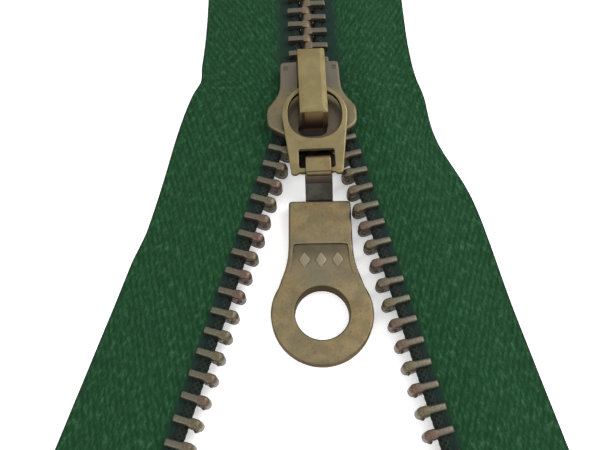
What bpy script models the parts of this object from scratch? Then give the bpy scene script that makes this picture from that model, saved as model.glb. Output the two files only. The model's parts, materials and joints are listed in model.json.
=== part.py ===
"""A metal-toothed zipper, part open: two stringers, an auto-lock slider with a cap, a bail and a ring pull.

Metres, +Z up. The zipper lies flat on z = 0 with the closed chain towards +Y and the open legs towards -Y.
The origin is the middle of the slider's underside. Every stringer is drawn straight, as if the zipper were
closed, and the part beyond the slider is then swung outwards about a pole on the line of its teeth.
"""

import math

import bmesh
import bpy
from mathutils import Matrix, Vector

MM = 0.001

# chain
PITCH = 2.67 * MM
TOOTH_THICK = 1.0 * MM
HEAD_REACH = 0.62 * MM
LEG_END = 2.9 * MM
CHAIN_LOW = 1.1 * MM
CHAIN_HIGH = 4.0 * MM
CHAIN_MID = (CHAIN_LOW + CHAIN_HIGH) / 2
GRIP_START = 0.9 * MM
GRIP_HALF_HEIGHT = 0.65 * MM
NIB_HEIGHT = 0.42 * MM
NIB_HALF = (0.3 * MM, 0.45 * MM)
DIMPLE_CLEARANCE = 0.1 * MM
LAST_CLOSED_TOOTH = {"left": 6.13 * MM, "right": 6.13 * MM - PITCH / 2}
CLOSED_TEETH = 7
BEND_TEETH = 4
OPEN_TEETH = {"left": 22, "right": 21}
END_TEETH = 4
BOTTOM_STOP = 25.3 * MM
BOTTOM_STOP_LENGTH = 2.2 * MM
TOP_STOP = -76.5 * MM
TOP_STOP_LENGTH = 2.4 * MM
TOP_STOP_INNER = GRIP_START - 0.6 * MM

# tapes and cords
TAPE_THICK = 0.7 * MM
TAPE_EDGE_THICK = 0.58 * MM
TAPE_INNER = 2.4 * MM
TAPE_OUTER = 15.4 * MM
TAPE_FLAT_FROM = 4.4 * MM
TAPE_FLAT_TO = 6.7 * MM
TAPE_FACETS = 4
TAPE_DROOP = CHAIN_MID - TAPE_THICK / 2
TAPE_ENDS = (40.0 * MM, -88.0 * MM)
CORD_OUTER = 2.25 * MM
CORD_CHAMFER = 0.3 * MM
CORD_INNER = GRIP_START + 0.1 * MM
CORD_HALF_HEIGHT = GRIP_HALF_HEIGHT - 0.05 * MM
BEND_CORD_INNER = GRIP_START + 0.3 * MM
BEND_CORD_HALF_HEIGHT = GRIP_HALF_HEIGHT - 0.1 * MM
ROW_CORD_INNER = GRIP_START - 0.05 * MM
ROW_CORD_HALF_HEIGHT = GRIP_HALF_HEIGHT + 0.05 * MM

# how each stringer swings open: the pole it turns about and its angle
SIGN = {"left": -1, "right": 1}
POLE_Y = {"left": 3.26 * MM, "right": 9.1 * MM}
SPREAD = {"left": math.radians(18.0), "right": math.radians(11.9)}
BEND_START = 4.5 * MM
BEND_LENGTH = 11.0 * MM
BEND_SLANT = 0.4
BEND_SLANT_FROM = 2.0 * MM
ROW_START = {"left": -6.2 * MM, "right": -7.2 * MM}
SLIDER_TRAVEL = 68.0 * MM
SEAM_GAP = 0.25 * MM
TAPE_SEAM = 0.02
BEND_CORD_SHARES = (0.03, 0.9)

# slider
PLATE_THICK = 1.0 * MM
PLATE_BEVEL = 0.22 * MM
POST_HALF_WIDTH = 0.9 * MM
FRONT_POST = (-3.8 * MM, -3.0 * MM, 7.3 * MM)
REAR_POST = (4.2 * MM, 4.95 * MM, 7.7 * MM)
POCKET_DEPTH = 0.55 * MM
TOP_PLATE_LOW = 4.1 * MM
TOP_PLATE_HIGH = TOP_PLATE_LOW + PLATE_THICK
TAPE_SLOT = (1.95 * MM, 3.15 * MM)
CAP_HALF_WIDTH = 1.85 * MM
CAP_TOP = 8.5 * MM
CAP_WALL = 0.5 * MM
CAP_LOW = TOP_PLATE_HIGH + 0.06 * MM
CAP_REAR = 6.1 * MM
CAP_FRONT_TOP = -4.9 * MM
CAP_FRONT_LOW = -4.1 * MM
CAP_BEVEL = 0.25 * MM
CAP_NOTCH = (-0.62 * MM, 1.62 * MM, 7.68 * MM)
BAIL_PIVOT = Vector((0, 0.5 * MM, 6.6 * MM))
BAIL_THICK = 0.8 * MM
BAIL_BEVEL = 0.16 * MM
BAIL_RING_AT = -4.0 * MM
BAIL_RING_RADIUS = 4.45 * MM
BAIL_ROOT = (1.55 * MM, 0.36 * MM)
BAIL_HOLE_AT = -3.95 * MM
BAIL_HOLE_HALF_LENGTH = 3.55 * MM
BAIL_HOLE_SQUARENESS = 0.86
BAIL_WINDOW = (2.4 * MM, -9.05 * MM, 0.25 * MM)
BAIL_SHIFT = 0.35 * MM
BAIL_HOLE_HALF = 3.65 * MM
BAIL_BAR_AT = 12.0 * MM
BAIL_BAR_HALF = 0.32 * MM
BAIL_TILT = math.radians(9.34)

# pull
PULL_SHIFT = 0.5 * MM
TAB_YAW = math.radians(-1.5)
LINK_WIDTH = 3.7 * MM
LINK_THICK = 0.44 * MM
LINK_NECK = 0.5 * MM
LINK_LOOP_INNER = 0.5 * MM
LINK_LOOP_OUTER = 0.8 * MM
LINK_CROWN = (0.95 * MM, 0.3 * MM)
LINK_EYE_INNER = 0.36 * MM
LINK_EYE_OUTER = 0.6 * MM
LINK_SIDE_PLAY = 0.15 * MM
PIN_RADIUS = 0.3 * MM
PIN_PLAY = 0.03 * MM
PIN_END_PLAY = 0.05 * MM
PIN_AT = Vector((PULL_SHIFT, -15.05 * MM, 1.12 * MM))
TAB_TOP = -14.6 * MM
TAB_THICK = 2.24 * MM
TAB_HALF_WIDTH = 4.15 * MM
TAB_RING_AT = -30.1 * MM
TAB_RING_RADIUS = 6.45 * MM
TAB_HOLE_RADIUS = 3.42 * MM
TAB_CORNER = 0.35 * MM
TAB_SLOT = (0.72 * MM, 0.86 * MM)
TAB_WALL = 0.55 * MM
TAB_BAND = (-5.7 * MM, -10.6 * MM)
TAB_BAND_DEPTH = 0.2 * MM
TAB_BAND_RING = 5.0 * MM
LOZENGE_HALF = (0.75 * MM, 1.15 * MM)
LOZENGE_AT = -8.0 * MM
LOZENGE_SPACING = 2.15 * MM
LOZENGE_BELOW_FACE = 0.04 * MM

# lock
PAWL_PIVOT = Vector((0, -2.15 * MM, 5.45 * MM))
PAWL_SLOT = (0.8 * MM, 1.45 * MM, 2.95 * MM, 4.0 * MM)
PAWL_SIDES = (-0.5 * MM, 1.28 * MM)
PAWL_TIP_SIDES = (0.96 * MM, 1.26 * MM)
SPRING_ENDS = (-1.9 * MM, 3.4 * MM)
SPRING_LOW = 7.56 * MM
SPRING_BOW = 0.26 * MM
SPRING_THICK = 0.14 * MM
SPRING_HALF_WIDTH = 0.5 * MM


def clear_scene():
    for obj in list(bpy.data.objects):
        bpy.data.objects.remove(obj)


def material(name, colour, roughness, metallic):
    made = bpy.data.materials.new(name)
    made.use_nodes = True
    shader = made.node_tree.nodes["Principled BSDF"]
    shader.inputs["Base Color"].default_value = (*colour, 1)
    shader.inputs["Roughness"].default_value = roughness
    shader.inputs["Metallic"].default_value = metallic
    return made


def make_materials():
    return {
        "tape": material("tape_fabric", (0.02, 0.08, 0.032), 0.9, 0),
        "cord": material("cord_fabric", (0.015, 0.024, 0.018), 0.9, 0),
        "teeth": material("teeth_brass", (0.22, 0.18, 0.12), 0.45, 1),
        "slider": material("slider_brass", (0.29, 0.24, 0.14), 0.4, 1),
        "pull": material("pull_brass", (0.26, 0.2, 0.11), 0.42, 1),
        "strap": material("strap_metal", (0.09, 0.08, 0.07), 0.4, 1),
        "steel": material("spring_steel", (0.5, 0.5, 0.5), 0.3, 1),
    }


def scaled(points):
    """Points given in millimetres, as metres."""
    return [tuple(value * MM for value in point) for point in points]


def arc(centre, radius, start, end, steps):
    """Points of an arc from angle start to angle end, in degrees."""
    turns = [math.radians(start + (end - start) * i / steps) for i in range(steps + 1)]
    return [(centre[0] + radius * math.cos(t), centre[1] + radius * math.sin(t)) for t in turns]


def both_sides(half):
    """A closed outline from its right half, given from one end of the centreline to the other."""
    mirrored = [(-x, y) for x, y in reversed(half) if abs(x) > 1e-9]
    return half + mirrored


def prism_mesh(name, outline, low, high, axis="z"):
    """An outline pushed along an axis. It lies in XY for z, in XZ for y, and in YZ for x."""
    place = {
        "z": lambda p, t: (p[0], p[1], t),
        "y": lambda p, t: (p[0], t, p[1]),
        "x": lambda p, t: (t, p[0], p[1]),
    }[axis]
    shape = bmesh.new()
    bottom = [shape.verts.new(place(p, low)) for p in outline]
    top = [shape.verts.new(place(p, high)) for p in outline]
    shape.faces.new(bottom)
    shape.faces.new(top)
    for i in range(len(outline)):
        j = (i + 1) % len(outline)
        shape.faces.new((bottom[i], bottom[j], top[j], top[i]))
    bmesh.ops.recalc_face_normals(shape, faces=shape.faces)
    mesh = bpy.data.meshes.new(name)
    shape.to_mesh(mesh)
    shape.free()
    return mesh


def add(name, mesh, paint=None, parent=None, location=(0, 0, 0)):
    obj = bpy.data.objects.new(name, mesh)
    bpy.context.scene.collection.objects.link(obj)
    obj.parent = parent
    obj.location = location
    if paint:
        mesh.materials.clear()
        mesh.materials.append(paint)
    return obj


def add_empty(name, location, parent=None, rotation=(0, 0, 0)):
    empty = bpy.data.objects.new(name, None)
    bpy.context.scene.collection.objects.link(empty)
    empty.parent = parent
    empty.location = location
    empty.rotation_euler = rotation
    empty.empty_display_size = MM
    return empty


def combine(target, other, operation):
    """A Boolean whose second shape stays in the scene as a hidden guide."""
    other.parent = target
    other.hide_render = True
    other.display_type = "WIRE"
    step = target.modifiers.new(operation.lower(), "BOOLEAN")
    step.operation = operation
    step.solver = "EXACT"
    step.object = other


def bevel(obj, width, segments=2, angle=40):
    step = obj.modifiers.new("bevel", "BEVEL")
    step.width = width
    step.segments = segments
    step.limit_method = "ANGLE"
    step.angle_limit = math.radians(angle)


def smooth(obj, angle=35):
    obj.data.shade_smooth()
    obj.data.set_sharp_from_angle(angle=math.radians(angle))


def evaluated_mesh(obj):
    """The object's mesh with its modifiers applied, as a new mesh."""
    graph = bpy.context.evaluated_depsgraph_get()
    return bpy.data.meshes.new_from_object(obj.evaluated_get(graph), depsgraph=graph)


def drop(*objects):
    for obj in objects:
        bpy.data.objects.remove(obj)


# ---- stringers -------------------------------------------------------------


def bend_share(x, y):
    """How far a point of the straight stringer has turned: 0 in the closed chain, 1 on the open leg."""
    start = BEND_START + BEND_SLANT * (abs(x) - BEND_SLANT_FROM)
    t = min(1.0, max(0.0, (start - y) / BEND_LENGTH))
    return t * t * (3 - 2 * t)


def pole(side):
    return Vector((SIGN[side] * LEG_END, POLE_Y[side], 0))


def in_leg_frame(side, point):
    """A point of the straight stringer, bent, in the open leg's own frame at its pole."""
    share = bend_share(point[0], point[1])
    turn = Matrix.Rotation(SIGN[side] * SPREAD[side] * (share - 1), 4, "Z")
    return turn @ (Vector(point) - pole(side))


def loft_mesh(name, rings):
    """A closed solid through rings of points, with its first and last ring capped."""
    shape = bmesh.new()
    rows = [[shape.verts.new(p) for p in ring] for ring in rings]
    count = len(rings[0])
    for one, two in zip(rows, rows[1:]):
        for i in range(count):
            j = (i + 1) % count
            shape.faces.new((one[i], one[j], two[j], two[i]))
    shape.faces.new(rows[0])
    shape.faces.new(rows[-1])
    bmesh.ops.recalc_face_normals(shape, faces=shape.faces)
    mesh = bpy.data.meshes.new(name)
    shape.to_mesh(mesh)
    shape.free()
    return mesh


def tape_height(x):
    """The tape's middle: level beside the teeth, then down to the ground at its outer edge."""
    t = max(0.0, (abs(x) - TAPE_FLAT_TO) / (TAPE_OUTER - TAPE_FLAT_TO))
    return CHAIN_MID - TAPE_DROOP * t * t * (3 - 2 * t)


def tape_section(side):
    """The tape across its width: a thinner edge by the cord, a flat band to sew along, and the droop."""
    droop = TAPE_OUTER - TAPE_FLAT_TO
    across = [TAPE_INNER, TAPE_FLAT_FROM, TAPE_FLAT_TO]
    across += [TAPE_FLAT_TO + droop * (k + 1) / TAPE_FACETS for k in range(TAPE_FACETS)]
    half = [TAPE_EDGE_THICK / 2] + [TAPE_THICK / 2] * (len(across) - 1)
    top = [(SIGN[side] * x, tape_height(x) + h) for x, h in zip(across, half)]
    bottom = [(SIGN[side] * x, tape_height(x) - h) for x, h in zip(across, half)]
    return top + bottom[::-1]


def cord_section(side, inner, half_height):
    """An oval cord, eight-sided, from x = inner to CORD_OUTER."""
    middle, half = (inner + CORD_OUTER) / 2, (CORD_OUTER - inner) / 2
    cut = CORD_CHAMFER
    corner = [(half - cut, half_height), (half, half_height - cut)]
    quarter = corner + [(x, -z) for x, z in reversed(corner)]
    ring = quarter + [(-x, z) for x, z in reversed(quarter)]
    return [(SIGN[side] * (middle + x), CHAIN_MID + z) for x, z in ring]


def strip(name, section, lines, place):
    """A section run along Y through the given lines, each a function of x, its points put where place says."""
    return loft_mesh(name, [[place((x, line(x), z)) for x, z in section] for line in lines])


def bend_line(t, shift=0.0):
    """The slanted line across a stringer where the bend has come t of its way, 0 to 1."""
    return lambda x: BEND_START - shift + BEND_SLANT * (abs(x) - BEND_SLANT_FROM) - t * BEND_LENGTH


def level(y):
    return lambda x: y


def bend_lines(start, end, steps):
    return [bend_line(start + (end - start) * i / steps) for i in range(steps + 1)]


def tooth_outline():
    """The side of a tooth in XZ: a rounded head, and two legs that grip the cord."""
    half = CHAIN_HIGH - CHAIN_MID
    upper = [
        (-HEAD_REACH, 0.55 * half),
        (-HEAD_REACH + 0.3 * MM, 0.85 * half),
        (-HEAD_REACH + 0.9 * MM, half),
        (LEG_END, half),
        (LEG_END, GRIP_HALF_HEIGHT),
        (GRIP_START, GRIP_HALF_HEIGHT),
    ]
    lower = [(x, -z) for x, z in reversed(upper)]
    return [(x, CHAIN_MID + z) for x, z in upper + lower]


def make_tooth_mesh():
    """A right-hand tooth at y = 0, with a nib on its -Y face and a dimple for its neighbour's."""
    half = TOOTH_THICK / 2
    body = add("tooth_body", prism_mesh("tooth_body", tooth_outline(), -half, half, "y"))
    x, z = NIB_HALF
    nib = add("tooth_nib", prism_mesh("tooth_nib", box_outline(x, z), -half - NIB_HEIGHT, 0, "y"))
    x, z = x + DIMPLE_CLEARANCE, z + DIMPLE_CLEARANCE
    deep = half - NIB_HEIGHT
    dimple = add("tooth_dimple", prism_mesh("tooth_dimple", box_outline(x, z), deep, half + MM, "y"))
    combine(body, nib, "UNION")
    combine(body, dimple, "DIFFERENCE")
    right = evaluated_mesh(body)
    drop(body, nib, dimple)
    left = right.copy()
    left.transform(Matrix.Scale(-1, 4, (1, 0, 0)))
    left.flip_normals()
    return {"left": left, "right": right}


def box_outline(x, z):
    return [(-x, CHAIN_MID - z), (x, CHAIN_MID - z), (x, CHAIN_MID + z), (-x, CHAIN_MID + z)]


def tooth_place(side, number):
    """Where a tooth stands along the straight chain: 0 is the last closed one, counting up towards -Y."""
    return LAST_CLOSED_TOOTH[side] - number * PITCH


def row_seam(side):
    """Where a leg's row of teeth ends and its end row starts: midway between two teeth."""
    return tooth_place(side, BEND_TEETH + OPEN_TEETH[side] + 0.5)


def make_row(name, side, mesh, numbers, start, end, paint, parent, origin):
    """A run of teeth crimped on their cord, as one solid."""
    section = cord_section(side, ROW_CORD_INNER, ROW_CORD_HALF_HEIGHT)
    cord = strip(name, section, [level(start), level(end)], lambda p: Vector(p) - origin)
    row = add(name, cord, paint, parent)
    teeth = bmesh.new()
    for number in numbers:
        copy = mesh.copy()
        copy.transform(Matrix.Translation(Vector((0, tooth_place(side, number), 0)) - origin))
        teeth.from_mesh(copy)
        bpy.data.meshes.remove(copy)
    together = bpy.data.meshes.new(name + "_teeth")
    teeth.to_mesh(together)
    teeth.free()
    combine(row, add(name + "_teeth", together), "UNION")
    return row


def make_closed_chain(paints, teeth):
    for side in SIGN:
        lines = [bend_line(0), level(TAPE_ENDS[0])]
        add(side + "_tape", strip(side + "_tape", tape_section(side), lines, Vector), paints["tape"])
        section = cord_section(side, CORD_INNER, CORD_HALF_HEIGHT)
        add(side + "_cord", strip(side + "_cord", section, lines, Vector), paints["cord"])
        for number in range(CLOSED_TEETH):
            name = f"{side}_closed_tooth_{number + 1}"
            place = (0, tooth_place(side, -number), 0)
            add(name, teeth[side], None, None, place)


def make_bend(teeth):
    """Inside the slider, where the chain opens: each tooth turns about its pole by its own share."""
    for side in SIGN:
        for k in range(BEND_TEETH):
            straight = Vector((0, tooth_place(side, k + 1), 0))
            share = bend_share(BEND_SLANT_FROM, straight.y)
            turn = SIGN[side] * SPREAD[side] * share
            hub = add_empty(f"{side}_bend_{k + 1}_axis", pole(side), None, (0, 0, turn))
            add(f"{side}_bend_tooth_{k + 1}", teeth[side], None, hub, straight - pole(side))


def make_leg(side, paints, teeth):
    """One open leg: its bent cord and tape, and its row of teeth, in a frame at the pole."""
    hub = add_empty(side + "_leg_axis", pole(side), None, (0, 0, SIGN[side] * SPREAD[side]))
    bent = lambda p: in_leg_frame(side, p)
    section = cord_section(side, BEND_CORD_INNER, BEND_CORD_HALF_HEIGHT)
    lines = bend_lines(*BEND_CORD_SHARES, 12) + [level(ROW_START[side] + SEAM_GAP)]
    cord = strip(side + "_bend_cord", section, lines, bent)
    add(side + "_bend_cord", cord, paints["cord"], hub)
    lines = bend_lines(TAPE_SEAM, 1, 14) + [bend_line(0, SLIDER_TRAVEL)]
    tape = strip(side + "_open_tape", tape_section(side), lines, bent)
    add(side + "_open_tape", tape, paints["tape"], hub)
    first = BEND_TEETH + 1
    make_row(
        side + "_open_row",
        side,
        teeth[side],
        range(first, first + OPEN_TEETH[side]),
        ROW_START[side],
        row_seam(side) + SEAM_GAP / 2,
        paints["teeth"],
        hub,
        pole(side),
    )
    return hub


def make_leg_end(side, paints, teeth, leg):
    """The last teeth, the top stop and the tape's tail, which stay spread when the zipper is closed."""
    hub = add_empty(side + "_end_axis", (0, -SLIDER_TRAVEL, 0), leg)
    origin = pole(side) - Vector((0, SLIDER_TRAVEL, 0))
    here = lambda p: Vector(p) - origin
    lines = [bend_line(TAPE_SEAM, SLIDER_TRAVEL), level(TAPE_ENDS[1])]
    tape = strip(side + "_end_tape", tape_section(side), lines, here)
    add(side + "_end_tape", tape, paints["tape"], hub)
    first = BEND_TEETH + OPEN_TEETH[side] + 1
    row_end = TOP_STOP + TOP_STOP_LENGTH / 2 + SEAM_GAP
    make_row(
        side + "_end_row",
        side,
        teeth[side],
        range(first, first + END_TEETH),
        row_seam(side) - SEAM_GAP / 2,
        row_end,
        paints["teeth"],
        hub,
        origin,
    )
    section = cord_section(side, CORD_INNER, CORD_HALF_HEIGHT)
    lines = [level(row_end - SEAM_GAP), level(TAPE_ENDS[1])]
    cord = strip(side + "_end_cord", section, lines, here)
    add(side + "_end_cord", cord, paints["cord"], hub)
    half = CHAIN_HIGH - CHAIN_MID
    clamp = [
        (TOP_STOP_INNER, -half),
        (LEG_END, -half),
        (LEG_END, -GRIP_HALF_HEIGHT),
        (GRIP_START, -GRIP_HALF_HEIGHT),
        (GRIP_START, GRIP_HALF_HEIGHT),
        (LEG_END, GRIP_HALF_HEIGHT),
        (LEG_END, half),
        (TOP_STOP_INNER, half),
    ]
    outline = [(SIGN[side] * x - origin.x, CHAIN_MID + z) for x, z in clamp]
    low = TOP_STOP - TOP_STOP_LENGTH / 2 - origin.y
    stop = prism_mesh(side + "_top_stop", outline, low, low + TOP_STOP_LENGTH, "y")
    add(side + "_top_stop", stop, paints["teeth"], hub)


def make_bottom_stop(paints):
    """A clip across both cords: an H section that runs over and under them."""
    half = CHAIN_HIGH - CHAIN_MID
    quarter = [
        (GRIP_START - 0.05 * MM, GRIP_HALF_HEIGHT),
        (LEG_END, GRIP_HALF_HEIGHT),
        (LEG_END, half),
    ]
    right = [(x, -z) for x, z in reversed(quarter)] + quarter
    outline = [(x, CHAIN_MID + z) for x, z in both_sides(right)]
    low = BOTTOM_STOP - BOTTOM_STOP_LENGTH / 2
    mesh = prism_mesh("bottom_stop", outline, low, low + BOTTOM_STOP_LENGTH, "y")
    add("bottom_stop", mesh, paints["teeth"])


# ---- slider ----------------------------------------------------------------

PLATE_HALF = scaled(
    [
        (0, -7.0),
        (1.7, -6.75),
        (3.3, -6.1),
        (4.6, -5.35),
        (5.5, -4.75),
        (5.95, -3.9),
        (6.12, -2.8),
        (6.05, -1.7),
        (5.7, -0.5),
        (5.0, 0.5),
        (4.45, 1.4),
        (4.22, 2.6),
        (4.15, 5.6),
        (3.9, 6.15),
        (3.4, 6.3),
        (0, 6.3),
    ]
)
FLANGE = scaled(
    [
        (3.1, 6.2),
        (3.2, 2.2),
        (3.6, 0.6),
        (4.2, -0.9),
        (4.8, -2.1),
        (5.3, -3.1),
        (5.9, -3.1),
        (5.97, -1.8),
        (5.62, -0.6),
        (4.92, 0.4),
        (4.36, 1.35),
        (4.12, 2.6),
        (4.07, 5.6),
        (3.6, 6.2),
    ]
)
WEDGE_HALF = scaled([(0, -6.8), (0.9, -6.5), (1.3, -5.9), (1.0, -4.9), (0.45, -3.6), (0, -1.9)])


def cutter(name, outline, low, high, axis="z"):
    return add(name, prism_mesh(name, outline, low, high, axis))


def rectangle(x_low, x_high, y_low, y_high):
    return [(x_low, y_low), (x_high, y_low), (x_high, y_high), (x_low, y_high)]


def make_slider_body(paints, hub):
    """Two plates joined by the wedge at the nose, with side flanges, posts, a nose pocket and the pawl's slot."""
    outline = both_sides(PLATE_HALF)
    plate = prism_mesh("slider_body", outline, TOP_PLATE_LOW, TOP_PLATE_HIGH)
    body = add("slider_body", plate, paints["slider"], hub)
    bevel(body, PLATE_BEVEL)
    bottom = cutter("bottom_plate", outline, 0, PLATE_THICK)
    bevel(bottom, PLATE_BEVEL)
    middle = PLATE_THICK / 2
    wedge = cutter("wedge", both_sides(WEDGE_HALF), middle, TOP_PLATE_HIGH - middle)
    combine(body, bottom, "UNION")
    combine(body, wedge, "UNION")
    for sign, side in ((1, "right"), (-1, "left")):
        flange = [(sign * x, y) for x, y in FLANGE]
        lower = cutter(side + "_lower_flange", flange, middle, TAPE_SLOT[0])
        upper = cutter(side + "_upper_flange", flange, TAPE_SLOT[1], TOP_PLATE_HIGH - middle)
        combine(body, lower, "UNION")
        combine(body, upper, "UNION")
    for name, (y_low, y_high, top) in (("front_post", FRONT_POST), ("rear_post", REAR_POST)):
        post = rectangle(-POST_HALF_WIDTH, POST_HALF_WIDTH, y_low, y_high)
        combine(body, cutter(name, post, TOP_PLATE_HIGH - middle, top), "UNION")
    pocket = both_sides(scaled([(0, -6.25), (1.2, -6.2), (1.75, -5.8), (1.9, -4.2), (0, -4.2)]))
    low = TOP_PLATE_HIGH - POCKET_DEPTH
    combine(body, cutter("nose_pocket", pocket, low, TOP_PLATE_HIGH + MM), "DIFFERENCE")
    slot = cutter("pawl_slot", rectangle(*PAWL_SLOT), TOP_PLATE_LOW - MM, TOP_PLATE_HIGH + MM)
    combine(body, slot, "DIFFERENCE")
    slope = scaled([(-6.35, 5.2), (-7.3, 4.55), (-7.3, 5.6), (-6.35, 5.6)])
    wide = 7 * MM
    combine(body, cutter("nose_slope", slope, -wide, wide, "x"), "DIFFERENCE")
    smooth(body)


def make_cap(paints, hub):
    """The hollow cap: a channel closed behind and open in front, notched for the bail's bar."""
    side = [
        (CAP_FRONT_LOW, CAP_LOW),
        (CAP_FRONT_TOP, CAP_TOP),
        (CAP_REAR, CAP_TOP),
        (CAP_REAR, CAP_LOW),
    ]
    mesh = prism_mesh("slider_cap", side, -CAP_HALF_WIDTH, CAP_HALF_WIDTH, "x")
    cap = add("slider_cap", mesh, paints["slider"], hub)
    bevel(cap, CAP_BEVEL)
    inside = CAP_HALF_WIDTH - CAP_WALL
    hollow = rectangle(-inside, inside, CAP_FRONT_TOP - MM, CAP_REAR - CAP_WALL)
    room = cutter("cap_hollow", hollow, CAP_LOW - MM, CAP_TOP - CAP_WALL)
    combine(cap, room, "DIFFERENCE")
    y_low, y_high, top = CAP_NOTCH
    notch = rectangle(y_low, y_high, CAP_LOW - MM, top)
    wide = 2 * CAP_HALF_WIDTH
    combine(cap, cutter("cap_notch", notch, -wide, wide, "x"), "DIFFERENCE")
    smooth(cap)


def bail_half_outline():
    """Right half of the bail: from the bar under the cap, round the ring, down to the foot."""
    ring = arc((0, BAIL_RING_AT), BAIL_RING_RADIUS, 66, -6, 9)
    foot = scaled([(3.5, -12.2), (3.38, -12.6), (2.65, -12.6), (2.5, -12.32), (0, -12.32)])
    return [(0, BAIL_ROOT[1]), BAIL_ROOT] + ring + foot


def bail_hole_half():
    """Right half of the ring's opening, squarer than a circle."""
    steps = 12
    points = []
    for i in range(steps + 1):
        turn = math.pi * i / steps
        wide = max(0.0, math.sin(turn)) ** BAIL_HOLE_SQUARENESS
        tall = math.copysign(abs(math.cos(turn)) ** BAIL_HOLE_SQUARENESS, math.cos(turn))
        points.append((BAIL_HOLE_HALF * wide, BAIL_HOLE_AT + BAIL_HOLE_HALF_LENGTH * tall))
    return points


def beside_cap(outline):
    """The bail hangs a little to one side of the middle, as its bar has play in the cap."""
    return [(x + BAIL_SHIFT, y) for x, y in outline]


def make_bail(paints, slider_hub):
    hub = add_empty("bail_axis", BAIL_PIVOT, slider_hub, (BAIL_TILT, 0, 0))
    half = BAIL_THICK / 2
    outline = beside_cap(both_sides(bail_half_outline()))
    bail = add("bail", prism_mesh("bail", outline, -half, half), paints["slider"], hub)
    bevel(bail, BAIL_BEVEL, 2, 50)
    hole = cutter("bail_hole", beside_cap(both_sides(bail_hole_half())), -MM, MM)
    combine(bail, hole, "DIFFERENCE")
    bar_top = -(BAIL_BAR_AT - BAIL_BAR_HALF)
    window = beside_cap(both_sides(window_half(bar_top)))
    combine(bail, cutter("bail_window", window, -MM, MM), "DIFFERENCE")
    smooth(bail)
    return hub


def window_half(bar_top):
    side, top, corner = BAIL_WINDOW
    return [(0, bar_top), (side, bar_top), (side, top - corner), (side - corner, top), (0, top)]


# ---- pull ------------------------------------------------------------------


def bar_place():
    """The middle of the bail's lower bar."""
    reach = Matrix.Rotation(BAIL_TILT, 4, "X") @ Vector((0, -BAIL_BAR_AT, 0))
    return BAIL_PIVOT + reach + Vector((PULL_SHIFT, 0, 0))


def capsule(start, end, start_radius, end_radius, steps=8):
    """The outline round two circles and the straight sides between them, in YZ."""
    along = Vector((end[0] - start[0], end[1] - start[1]))
    heading = math.degrees(math.atan2(along.y, along.x))
    far = arc(end, end_radius, heading - 90, heading + 90, steps)
    return far + arc(start, start_radius, heading + 90, heading + 270, steps)


def make_link(paints, bail_hub):
    """A folded strap: a loop round the bail's bar, and two layers down to an eye round the tab's pin."""
    bar = bar_place()
    local = Vector((PULL_SHIFT, -BAIL_BAR_AT, 0))
    hub = add_empty("link_axis", local, bail_hub, (-BAIL_TILT, 0, 0))
    eye = (PIN_AT.y - bar.y, PIN_AT.z - bar.z)
    half = LINK_WIDTH / 2
    loop = capsule(LINK_CROWN, (0, 0), LINK_LOOP_OUTER, LINK_LOOP_OUTER)
    link = add("pull_link", prism_mesh("pull_link", loop, -half, half, "x"), paints["strap"], hub)
    layers = capsule((0, 0), eye, LINK_NECK, LINK_THICK / 2)
    combine(link, cutter("link_layers", layers, -half, half - 0.001 * MM, "x"), "UNION")
    end = arc(eye, LINK_EYE_OUTER, 0, 345, 23)
    combine(link, cutter("link_eye", end, 0.002 * MM - half, half - 0.002 * MM, "x"), "UNION")
    wide = LINK_WIDTH
    opening = capsule(LINK_CROWN, (0, 0), LINK_LOOP_INNER, LINK_LOOP_INNER)
    combine(link, cutter("link_opening", opening, -wide, wide, "x"), "DIFFERENCE")
    pin_hole = arc(eye, LINK_EYE_INNER, 0, 345, 23)
    combine(link, cutter("link_pin_hole", pin_hole, -wide, wide, "x"), "DIFFERENCE")
    smooth(link)
    return hub, eye


def tab_half_outline():
    """Right half of the tab, from its top edge down the side, in along a hollow curve and round the ring."""
    top, ring = TAB_TOP - PIN_AT.y, TAB_RING_AT - PIN_AT.y
    neck = scaled([(4.24, -7.2), (4.36, -8.2), (4.68, -9.4), (5.1, -10.6)])
    side = [(TAB_HALF_WIDTH - TAB_CORNER, top), (TAB_HALF_WIDTH, top - TAB_CORNER)] + neck
    return [(0, top)] + side + arc((0, ring), TAB_RING_RADIUS, 34, -90, 15)[:-1] + [
        (0, ring - TAB_RING_RADIUS)
    ]


def lozenge(x, y):
    wide, high = LOZENGE_HALF
    return [(x - wide, y), (x, y - high), (x + wide, y), (x, y + high)]


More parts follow.
